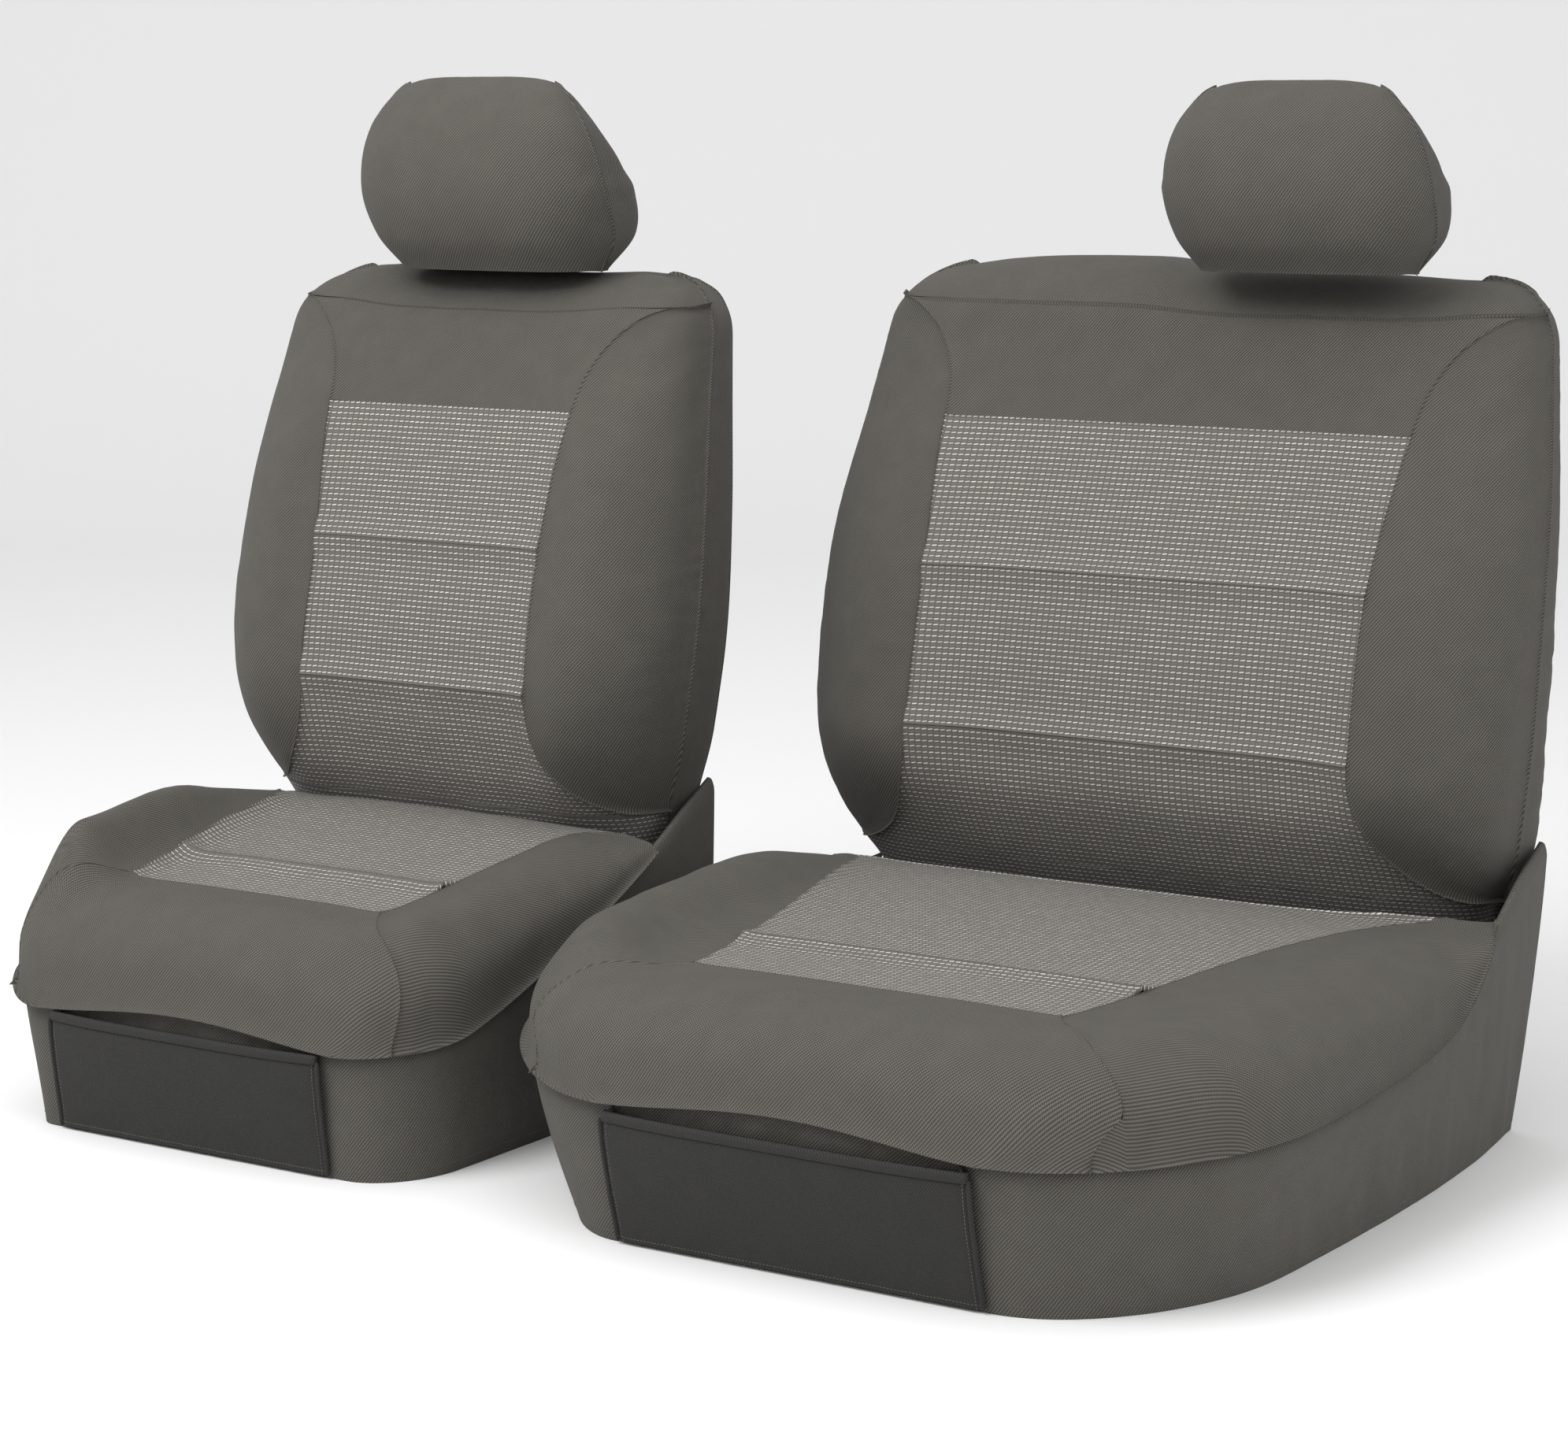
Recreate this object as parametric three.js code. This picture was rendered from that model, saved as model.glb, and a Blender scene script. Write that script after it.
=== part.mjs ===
// A front set of fabric seat covers, shaped as they sit when fitted and hollow inside:
// one bucket seat (driver) and one wide bench, each with a headrest cover, a backrest
// cover, and a base cover with a pocket on its front skirt.
// Millimetres, +Z up, the seats face -Y. Every panel is one piece of foam-backed cloth.
import * as THREE from "three";

// ---------------------------------------------------------------- driving dimensions
const CLOTH = 5; // face fabric, foam and lining together
const SEAM_GAP = 0.5; // each panel stops this short of the line it is sewn along
const WING_TIP = 6; // width of the blunt front end of a wing
const CLEAR = 0.8; // gap between layers that lie against each other
const STRAP = { width: 25, thick: 2.5 };
const BUCKLE = { width: 34, depth: 22, thick: 8 };
const HEM_ELASTIC = { width: 12, thick: 2 };
const ARCH = { rise: 14, half: 200 }; // rise of the front roll seam over the pocket
const UNDER_STRAP = 20; // height of the straps that pass under the seat
const POCKET = { thick: 4, bottom: 4, binding: 9 };

const BACK = {
  crown: 62, // height of the rounding over the crest
  frontPower: 4.2,
  rearPower: 4.5,
  // Angles of the seams of the side gusset, at the bolster and at the rear panel. They run
  // together over the last stretch before the crest.
  gusset: { ahead: 0.14, behind: -0.62, meet: -0.12, stretch: 80 },
  saddle: { depth: 12, half: 156 }, // dip of the crest under the headrest
  shoulderDrop: 14, // fall of the crest's two ends
  flank: { out: 8, rise: [250, 430] }, // widening of the right rear edge, low on the back
};

// The headrest's heights are above its lower edge, which is `sunk` below the crest.
const HEADREST = {
  sunk: 2,
  height: 195,
  crown: 22,
  shoulderDrop: 10,
  frontPower: 3.2,
  rearPower: 3.4,
  seam: [[0, 0.02], [80, 0.3], [195, 0.12]], // angle of the seam between front and rear panel
  half: [[0, 117], [37, 142], [85, 149], [145, 132], [195, 92]],
  front: [[0, 100], [32, 68], [85, 52], [145, 64], [195, 98]],
  rear: [[0, 192], [37, 222], [85, 204], [145, 154], [195, 124]],
  slot: { half: 76, depth: 24 }, // opening for the two posts
};

const SEATS = {
  driver: {
    place: [-356, 0],
    headrest: { x: 0, y: 0, scale: 1 },
    bottom: 242,
    top: 852,
    corner: 72,
    backHalf: [[225, 212], [290, 230], [370, 258], [470, 272], [600, 269], [720, 258], [846, 246]],
    backFront: [[240, 58], [280, 36], [330, 8], [420, -13], [566, 15], [705, 59], [846, 112]],
    backRear: [[225, 176], [420, 190], [600, 208], [750, 226], [846, 238]],
    insertBack: [[420, 149], [566, 148], [705, 160]],
    flare: { low: 290, half: 250 },
    yokeTop: { z: 812, half: 252 },
    leftward: 20,
    bolster: 34,
    baseHalf: [[-391, 262], [-250, 268], [-100, 272], [60, 268], [165, 256]],
    cornerX: 74,
    cornerY: 96,
    front: -391,
    rear: 165,
    crevice: 26,
    shelf: 170,
    baseTop: [[-391, 244], [-267, 240], [-100, 262], [26, 276], [165, 250]],
    seam: {
      right: [[-391, 126], [-293, 138], [-140, 190], [20, 256], [100, 292], [165, 316]],
      left: [[-391, 126], [-250, 134], [-100, 150], [20, 178], [100, 198], [165, 208]],
    },
    waterfall: 116,
    wing: { right: 24, left: 100 },
    insertBase: [[-286, 162], [-120, 180], [-30, 190], [5, 206], [26, 236]],
    channel: -196,
    yokeEnd: { y: -358, half: 233 },
    tuck: { right: 8, front: 8, left: 50 },
    pocket: { half: 170, top: 116, gape: 14 },
  },
  bench: {
    place: [356, 186],
    headrest: { x: 122, y: 40, scale: 0.932 },
    bottom: 212,
    top: 860,
    corner: 78,
    backHalf: [[225, 340], [290, 364], [370, 377], [470, 380], [600, 376], [720, 362], [846, 346]],
    backFront: [[225, 106], [273, 74], [330, 44], [387, 40], [548, 76], [697, 141], [846, 190]],
    backRear: [[225, 236], [420, 244], [600, 260], [750, 286], [846, 306]],
    insertBack: [[387, 248], [548, 248], [697, 261]],
    flare: { low: 246, half: 362 },
    yokeTop: { z: 816, half: 366 },
    leftward: 24,
    bolster: 34,
    baseHalf: [[-612, 366], [-400, 388], [-150, 402], [60, 400], [200, 386]],
    cornerX: 172,
    cornerY: 250,
    front: -612,
    rear: 200,
    crevice: 42,
    shelf: 172,
    baseTop: [[-612, 244], [-437, 230], [-150, 244], [84, 250], [200, 240]],
    seam: {
      right: [[-612, 138], [-400, 142], [-250, 150], [-100, 184], [20, 240], [110, 274], [200, 298]],
      left: [[-612, 138], [-400, 142], [-150, 158], [30, 180], [120, 196], [200, 206]],
    },
    waterfall: 160,
    wing: { right: 20, left: 46 },
    insertBase: [[-462, 192], [-240, 232], [-60, 276], [10, 300], [42, 345]],
    channel: -345,
    yokeEnd: { y: -560, half: 300 },
    tuck: { right: 28, front: 24, left: 56 },
    pocket: { half: 188, top: 122, gape: 14 },
  },
};

// ---------------------------------------------------------------- materials
const paint = (color, roughness) => () => new THREE.MeshStandardMaterial({ color, roughness });
const twill = paint(0x5b5850, 0.95);
const jacquard = paint(0x86817a, 0.9);
const pocketCloth = paint(0x43433f, 0.95);
const elastic = paint(0x1e1e1e, 0.9);
const nylon = paint(0x161616, 0.5);

// ---------------------------------------------------------------- small maths
const mix = (a, b, t) => a + (b - a) * t;
const clamp01 = (t) => Math.min(1, Math.max(0, t));
const ease = (a, b, t) => {
  const s = clamp01((t - a) / (b - a));
  return s * s * (3 - 2 * s);
};

// A smooth curve through stations [position, value], in ascending position.
function through(stations) {
  const last = stations.length - 1;
  const slope = stations.map((_, i) => {
    const [p0, q0] = stations[Math.max(i - 1, 0)];
    const [p1, q1] = stations[Math.min(i + 1, last)];
    return (q1 - q0) / (p1 - p0);
  });
  return (p) => {
    let i = 0;
    while (i < last - 1 && p > stations[i + 1][0]) i++;
    const [p0, q0] = stations[i];
    const [p1, q1] = stations[i + 1];
    const h = p1 - p0;
    const t = (p - p0) / h;
    if (t < 0) return q0 + slope[i] * (p - p0);
    if (t > 1) return q1 + slope[i + 1] * (p - p1);
    const rise = t * t * (3 - 2 * t);
    return mix(q0, q1, rise) + h * (slope[i] * t * (1 - t) ** 2 - slope[i + 1] * t * t * (1 - t));
  };
}

// Radius of a unit superellipse at an angle: power 2 is a circle, larger is squarer.
const squircle = (angle, power) =>
  (Math.abs(Math.cos(angle)) ** power + Math.abs(Math.sin(angle)) ** power) ** (-1 / power);

// How far a quarter circle has drawn in from its full radius: 0 at t = 0 and 1 at t = 1.
const drawnIn = (t) => 1 - Math.sqrt(1 - clamp01(t) ** 2);

// The angle in [0, PI] at which x(angle), which falls as the angle grows, has a value.
function angleWhere(x, value) {
  let a = 0;
  let b = Math.PI;
  for (let k = 0; k < 36; k++) {
    const c = (a + b) / 2;
    if (x(c) > value) a = c;
    else b = c;
  }
  return (a + b) / 2;
}

// ---------------------------------------------------------------- solids
const group = new THREE.Group();

function addMesh(seat, name, geometry, material) {
  const mesh = new THREE.Mesh(geometry, material());
  mesh.name = name;
  mesh.position.set(...seat.place, 0);
  group.add(mesh);
}

// A closed mesh, with its faces turned outwards.
function closed(points, index) {
  let volume = 0;
  for (let k = 0; k < index.length; k += 3) {
    const [a, b, c] = [points[index[k]], points[index[k + 1]], points[index[k + 2]]];
    volume += a.dot(b.clone().cross(c));
  }
  if (volume < 0) index.reverse();
  const geometry = new THREE.BufferGeometry().setFromPoints(points);
  geometry.setIndex(index);
  geometry.computeVertexNormals();
  return geometry;
}

// A closed solid between a grid of outer points and the same grid of inner points.
function gridSolid(outer, inner) {
  const rows = outer.length;
  const columns = outer[0].length;
  const points = [...outer.flat(), ...inner.flat()];
  const at = (side, j, i) => (side * rows + j) * columns + i;
  const index = [];
  const quad = (a, b, c, d) => index.push(a, b, c, a, c, d);
  for (let j = 0; j < rows - 1; j++)
    for (let i = 0; i < columns - 1; i++) {
      quad(at(0, j, i), at(0, j, i + 1), at(0, j + 1, i + 1), at(0, j + 1, i));
      quad(at(1, j, i), at(1, j + 1, i), at(1, j + 1, i + 1), at(1, j, i + 1));
    }
  for (let i = 0; i < columns - 1; i++) {
    quad(at(0, 0, i + 1), at(0, 0, i), at(1, 0, i), at(1, 0, i + 1));
    quad(at(0, rows - 1, i), at(0, rows - 1, i + 1), at(1, rows - 1, i + 1), at(1, rows - 1, i));
  }
  const end = columns - 1;
  for (let j = 0; j < rows - 1; j++) {
    quad(at(0, j, 0), at(0, j + 1, 0), at(1, j + 1, 0), at(1, j, 0));
    quad(at(0, j + 1, end), at(0, j, end), at(1, j, end), at(1, j + 1, end));
  }
  return closed(points, index);
}

// Places along a panel, from one end to the other in equal steps.
const steps = (from, to, count) => Array.from({ length: count + 1 }, (_, k) => mix(from, to, k / count));

// A panel of cloth on surface(u, v). Its side seams are at u = low(v) and high(v). Its rows
// are the values of v, and the first and last are its end seams: panels that share a side
// seam share their rows, so that their edges match. `facing` is 1 or -1, so that the normal
// points outwards. The panel lies under the surface by its own thickness, or `lift` higher.
function panel(surface, facing, { low, high, rows, columns, thick = CLOTH, lift = 0, gapMost = Infinity }) {
  const step = 1e-3;
  const outer = [];
  const inner = [];
  const last = rows.length - 1;
  for (let j = 0; j <= last; j++) {
    const v = rows[j] + (j === 0 ? SEAM_GAP : 0) - (j === last ? SEAM_GAP : 0);
    // The gap as a step of u, `gapMost` at most where the surface runs out to an edge.
    const stretch = (u) => surface(u + step, v).distanceTo(surface(u - step, v)) / (2 * step);
    const gapAt = (u) => Math.min(SEAM_GAP / stretch(u), gapMost);
    const u0 = low(v) + gapAt(low(v));
    const u1 = high(v) - gapAt(high(v));
    outer.push([]);
    inner.push([]);
    for (let i = 0; i <= columns; i++) {
      const u = mix(u0, u1, i / columns);
      const along = surface(u + step, v).sub(surface(u - step, v));
      const up = surface(u, v + 0.1).sub(surface(u, v - 0.1));
      const normal = along.cross(up).normalize().multiplyScalar(facing);
      const p = surface(u, v).addScaledVector(normal, lift);
      outer[j].push(p);
      inner[j].push(p.clone().addScaledVector(normal, -thick));
    }
  }
  return gridSolid(outer, inner);
}

// A ring-shaped solid through closed loops of points, each joined to the next and the last
// to the first.
function ringSolid(loops) {
  const count = loops[0].length;
  const index = [];
  loops.forEach((_, j) => {
    const next = (j + 1) % loops.length;
    for (let i = 0; i < count; i++) {
      const [a, b] = [j * count + i, j * count + ((i + 1) % count)];
      const [c, d] = [next * count + ((i + 1) % count), next * count + i];
      index.push(a, b, c, a, c, d);
    }
  });
  return closed(loops.flat(), index);
}

// A strap of elastic webbing along Y.
function strap(x, z, from, to) {
  const box = new THREE.BoxGeometry(STRAP.width, to - from, STRAP.thick);
  return box.translate(x, (from + to) / 2, z);
}

// A slide buckle: a frame round the strap.
function buckle(x, y, z) {
  const rectangle = (width, thick, at) =>
    [[-1, -1], [1, -1], [1, 1], [-1, 1]].map(
      ([i, j]) => new THREE.Vector3(x + (i * width) / 2, at, z + (j * thick) / 2),
    );
  const [near, far] = [y - BUCKLE.depth / 2, y + BUCKLE.depth / 2];
  const slot = [STRAP.width + 2 * CLEAR, STRAP.thick + 2 * CLEAR];
  return ringSolid([
    rectangle(BUCKLE.width, BUCKLE.thick, near),
    rectangle(BUCKLE.width, BUCKLE.thick, far),
    rectangle(...slot, far),
    rectangle(...slot, near),
  ]);
}

// ---------------------------------------------------------------- standing shells
// A rounded shell of level slices. u is the angle round a slice: 0 at the right side, PI/2
// at the front, PI at the left side, negative behind. v is the height, and over the crown
// it goes on as the length of the quarter turn.
function standingSurface({ half, front, rear, top, crown, frontPower, rearPower, shape }) {
  const shoulder = top - crown;
  return (u, v) => {
    const turn = Math.max(0, (v - shoulder) / crown);
    const z = v <= shoulder ? v : shoulder + crown * Math.sin(turn);
    const middle = mix(front(z), rear(z), 0.6);
    const ahead = Math.sin(u) >= 0;
    const r = squircle(u, ahead ? frontPower : rearPower);
    const reach = (ahead ? middle - front(z) : rear(z) - middle) * Math.cos(turn);
    const x = half(z) * r * Math.cos(u);
    return shape(new THREE.Vector3(x, middle - reach * r * Math.sin(u), z), half(z), Math.sin(u));
  };
}
const crestOf = ({ top, crown }) => top - crown + (crown * Math.PI) / 2;

// ---------------------------------------------------------------- backrest cover
function backSurface(seat) {
  const fullHalf = through(seat.backHalf);
  const drawTop = seat.top - seat.corner;
  return standingSurface({
    ...BACK,
    top: seat.top,
    half: (z) => fullHalf(z) - seat.corner * drawnIn((z - drawTop) / seat.corner),
    front: through(seat.backFront),
    rear: through(seat.backRear),
    shape: (p, half, facing) => {
      const across = Math.abs(p.x) / half;
      if (p.x < 0) p.x -= seat.leftward * across ** 3 * ease(130, 280, p.z);
      const swell = Math.exp(-(((across - 0.76) / 0.2) ** 2));
      const span = ease(250, 380, p.z) * (1 - ease(640, 800, p.z));
      p.y -= seat.bolster * swell * span * Math.max(0, facing);
      const dip = Math.exp(-(((p.x - seat.headrest.x) / BACK.saddle.half) ** 6));
      const crownward = Math.max(0, (p.z - seat.top) / BACK.crown + 1);
      p.z -= BACK.saddle.depth * dip * ease(seat.top - BACK.crown - 40, seat.top, p.z);
      p.z -= BACK.shoulderDrop * across ** 6 * crownward ** 2;
      const behind = ease(0.25, -0.35, facing) * across ** 3 * (1 - ease(...BACK.flank.rise, p.z));
      if (p.x > 0) p.x += BACK.flank.out * behind;
      return p;
    },
  });
}

function backCover(key, seat) {
  const surface = backSurface(seat);
  const crest = crestOf({ top: seat.top, crown: BACK.crown });
  const insert = through(seat.insertBack);
  const [lower, middle, upper] = seat.insertBack.map(([z]) => z);
  // Half-width of the inserts and, above them, of the yoke, which runs out to the side seam.
  const innerSeam = (z) => {
    if (z >= upper) {
      const t = clamp01((z - upper) / (seat.yokeTop.z - upper));
      return mix(insert(upper), seat.yokeTop.half, drawnIn(t));
    }
    const t = clamp01((lower - z) / (lower - seat.flare.low));
    return mix(insert(Math.max(z, lower)), seat.flare.half, drawnIn(t));
  };
  const angleAt = (x, v) => angleWhere((u) => surface(u, v).x, x);
  const mirrored = (angle) => Math.PI - angle;
  const closing = (v) => ease(crest - BACK.gusset.stretch, crest, v);
  const ahead = (v) => mix(BACK.gusset.ahead, BACK.gusset.meet + 0.03, closing(v));
  const behind = (v) => mix(BACK.gusset.behind, BACK.gusset.meet - 0.03, closing(v));
  const over = (v) => v >= seat.yokeTop.z;
  const rightSeam = (v) => (over(v) ? ahead(v) : Math.max(ahead(v), angleAt(innerSeam(v), v)));
  const leftSeam = (v) =>
    over(v) ? mirrored(ahead(v)) : Math.min(mirrored(ahead(v)), angleAt(-innerSeam(v), v));
  const add = (part, material, spec) =>
    addMesh(seat, `${key}_back_${part}`, panel(surface, 1, spec), material);
  const tip = seat.yokeTop.z - 14;
  const rows = [
    seat.bottom,
    ...steps(seat.flare.low + 8, lower, 4),
    ...steps(lower, middle, 2).slice(1),
    ...steps(middle, upper, 2).slice(1),
    ...steps(upper, tip, 4).slice(1),
    ...steps(tip, crest - BACK.crown / 3, 3).slice(1),
    crest,
  ];
  const between = (from, to) => rows.filter((v) => v >= from && v <= to);
  const front = { low: rightSeam, high: leftSeam };
  add("insert_lower", jacquard, { ...front, rows: between(seat.bottom, lower), columns: 8 });
  add("insert_middle", jacquard, { ...front, rows: between(lower, middle), columns: 4 });
  add("insert_upper", jacquard, { ...front, rows: between(middle, upper), columns: 4 });
  add("yoke", twill, { ...front, rows: between(upper, crest), columns: 12 });
  const bolster = { rows: between(seat.flare.low, tip), columns: 5 };
  add("bolster_right", twill, { ...bolster, low: ahead, high: rightSeam });
  add("bolster_left", twill, { ...bolster, low: leftSeam, high: (v) => mirrored(ahead(v)) });
  const gusset = { rows: rows.slice(0, -1), columns: 2 };
  add("gusset_right", twill, { ...gusset, low: behind, high: ahead });
  add("gusset_left", twill, {
    ...gusset,
    low: (v) => mirrored(ahead(v)),
    high: (v) => mirrored(behind(v)),
  });
  add("rear_panel", twill, { low: (v) => -Math.PI - behind(v), high: behind, rows, columns: 6 });
  // Straps under the cover, from the lower edge of the insert to that of the rear panel.
  const z = seat.bottom + 6;
  for (const [side, x] of [["right", 96], ["left", -96]]) {
    const [near, far] = [1, -1].map((turn) => {
      const angle = turn * angleWhere((u) => surface(turn * u, z).x, x);
      return surface(angle, z).y;
    });
    const ends = [near + CLOTH + 4, far - CLOTH - 1.5];
    addMesh(seat, `${key}_back_strap_${side}`, strap(x, z, ...ends), elastic);
  }
}

// ---------------------------------------------------------------- headrest cover
function headrestCover(key, seat) {
  const { x, y, scale } = seat.headrest;
  const bottom = seat.top - HEADREST.sunk;
  const sized = (stations, offset) =>
    through(stations.map(([z, value]) => [bottom + z * scale, value * scale + offset]));
  const shell = {
    ...HEADREST,
    top: bottom + HEADREST.height * scale,
    half: sized(HEADREST.half, 0),
    front: sized(HEADREST.front, y),
    rear: sized(HEADREST.rear, y),
    shape: (p, half) => {
      const crownward = Math.max(0, (p.z - shell.top) / HEADREST.crown + 1);
      p.z -= HEADREST.shoulderDrop * (Math.abs(p.x) / half) ** 5 * crownward ** 2;
      return p.setX(p.x + x);
    },
  };
  const surface = standingSurface(shell);
  const crest = crestOf(shell);
  const seam = sized(HEADREST.seam.map(([z, angle]) => [z, angle / scale]), 0);
  const rows = steps(bottom, crest, 7);
  const sides = { low: seam, high: (v) => Math.PI - seam(v) };
  addMesh(seat, `${key}_headrest_front_panel`, panel(surface, 1, { ...sides, rows, columns: 8 }), twill);
  const wrap = { low: (v) => -Math.PI - seam(v), high: seam };
  addMesh(seat, `${key}_headrest_rear_panel`, panel(surface, 1, { ...wrap, rows, columns: 12 }), twill);
  // The floor of the cover, with the opening for the posts.
  const level = bottom + CLOTH;
  const middle = mix(shell.front(bottom), shell.rear(bottom), 0.5);
  const count = 24;
  const loop = (z, point) =>
    Array.from({ length: count }, (_, k) => {
      const p = point((k / count) * 2 * Math.PI);
      return new THREE.Vector3(p.x, p.y, z);
    });
  const rim = (u) => {
    const p = surface(u, level);
    const towards = new THREE.Vector3(x, middle, level).sub(p);
    return p.add(towards.multiplyScalar((CLOTH + 6) / towards.length()));
  };
  const slot = (u) => {
    const r = squircle(u, 6);
    const [half, depth] = [HEADREST.slot.half * scale, (HEADREST.slot.depth / 2) * scale];
    return new THREE.Vector3(x + half * r * Math.cos(u), middle - depth * r * Math.sin(u), level);
  };
  const [low, high] = [bottom + 1, bottom + CLOTH];
  const floor = ringSolid([loop(low, rim), loop(high, rim), loop(high, slot), loop(low, slot)]);
  addMesh(seat, `${key}_headrest_floor_panel`, floor, twill);
}

// ---------------------------------------------------------------- base cover
function cushionHalf(seat) {
  const half = through(seat.baseHalf);
  const corner = seat.front + seat.cornerY;
  return (y) => half(y) - seat.cornerX * drawnIn((corner - y) / seat.cornerY);
}

// Height of the roll seam: `across` is 1 at the right edge and -1 at the left one. The right
// side stands up beside the backrest, and in front the seam rises over the pocket.
function rollSeam(seat) {
  const right = through(seat.seam.right);
  const left = through(seat.seam.left);
  return (y, across) => mix(left(y), right(y), (across + 1) / 2);
}
const frontArch = (x) => ARCH.rise * Math.max(0, 1 - (x / ARCH.half) ** 2) ** 2;

// The top of the cushion. u is the angle over a cross-section, 0 at the right roll seam and
// PI at the left one. v is y, and over the front edge it goes on as the length of the roll.
function cushionSurface(seat) {
  const half = cushionHalf(seat);
  const top = through(seat.baseTop);
  const seam = rollSeam(seat);
  const roll = seat.front + seat.waterfall;
  const insertFront = seat.insertBase[0][0];
  return (u, v) => {
    const turn = Math.max(0, (roll - v) / seat.waterfall);
    const full = squircle(turn, 2.8);
    const y = v >= roll ? v : roll - seat.waterfall * full * Math.sin(turn);
    const r = squircle(u, 4);
    const across = r * Math.cos(u);
    const height = across > 0 ? seat.wing.right : seat.wing.left;
    const fade = ease(insertFront - 105, insertFront + 15, y) * (1 - ease(seat.crevice - 190, seat.crevice, y));
    const swell = height * fade * Math.exp(-(((Math.abs(across) - 0.84) / 0.15) ** 2));
    const x = half(y) * across;
    const edge = seam(y, across) + frontArch(x) * Math.sin(turn) ** 2;
    const rise = (top(y) - edge + swell * Math.sin(u)) * full * Math.cos(turn);
    return new THREE.Vector3(x, y, edge + rise * r * Math.sin(u));
  };
}

// The outline of the skirt in plan, by length from the right rear corner round the front to
// the left rear corner.
function skirtOutline(seat) {
  const half = cushionHalf(seat);
  const corner = seat.front + seat.cornerY;
  const [straight, arc] = [24, 16];
  const stations = [];
  for (let k = 0; k < straight; k++) stations.push(mix(seat.rear, corner, k / straight));
  for (let k = 0; k <= arc; k++) stations.push(corner - seat.cornerY * Math.sin((k / arc) * (Math.PI / 2)));
  const points = stations.map((y) => new THREE.Vector2(half(y), y));
  for (const y of [...stations].reverse()) points.push(new THREE.Vector2(-half(y), y));
  const lengths = [0];
  for (let k = 1; k < points.length; k++)
    lengths.push(lengths[k - 1] + points[k].distanceTo(points[k - 1]));
  const at = (s) => {
    let k = 1;
    while (k < points.length - 1 && s > lengths[k]) k++;
    const t = (s - lengths[k - 1]) / (lengths[k] - lengths[k - 1]);
    return points[k - 1].clone().lerp(points[k], t);
  };
  return { at, total: lengths.at(-1) };
}

// The skirt. u is the length along the outline, and v the height as a percentage.
function skirtSurface(seat) {
  const outline = skirtOutline(seat);
  const seam = rollSeam(seat);
  const surface = (u, v) => {
    const p = outline.at(u);
    const along = outline.at(u + 6).sub(outline.at(u - 6)).normalize();
    const { right, front, left } = seat.tuck;
    const tuck = along.x ** 2 * front + along.y ** 2 * (along.y < 0 ? right : left);
    const inset = tuck * (1 - v / 100) ** 1.4;
    const height = seam(p.y, Math.sign(p.x)) + frontArch(p.x);
    return new THREE.Vector3(p.x + along.y * inset, p.y - along.x * inset, (height * v) / 100);
  };
  return { surface, total: outline.total };
}

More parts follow.
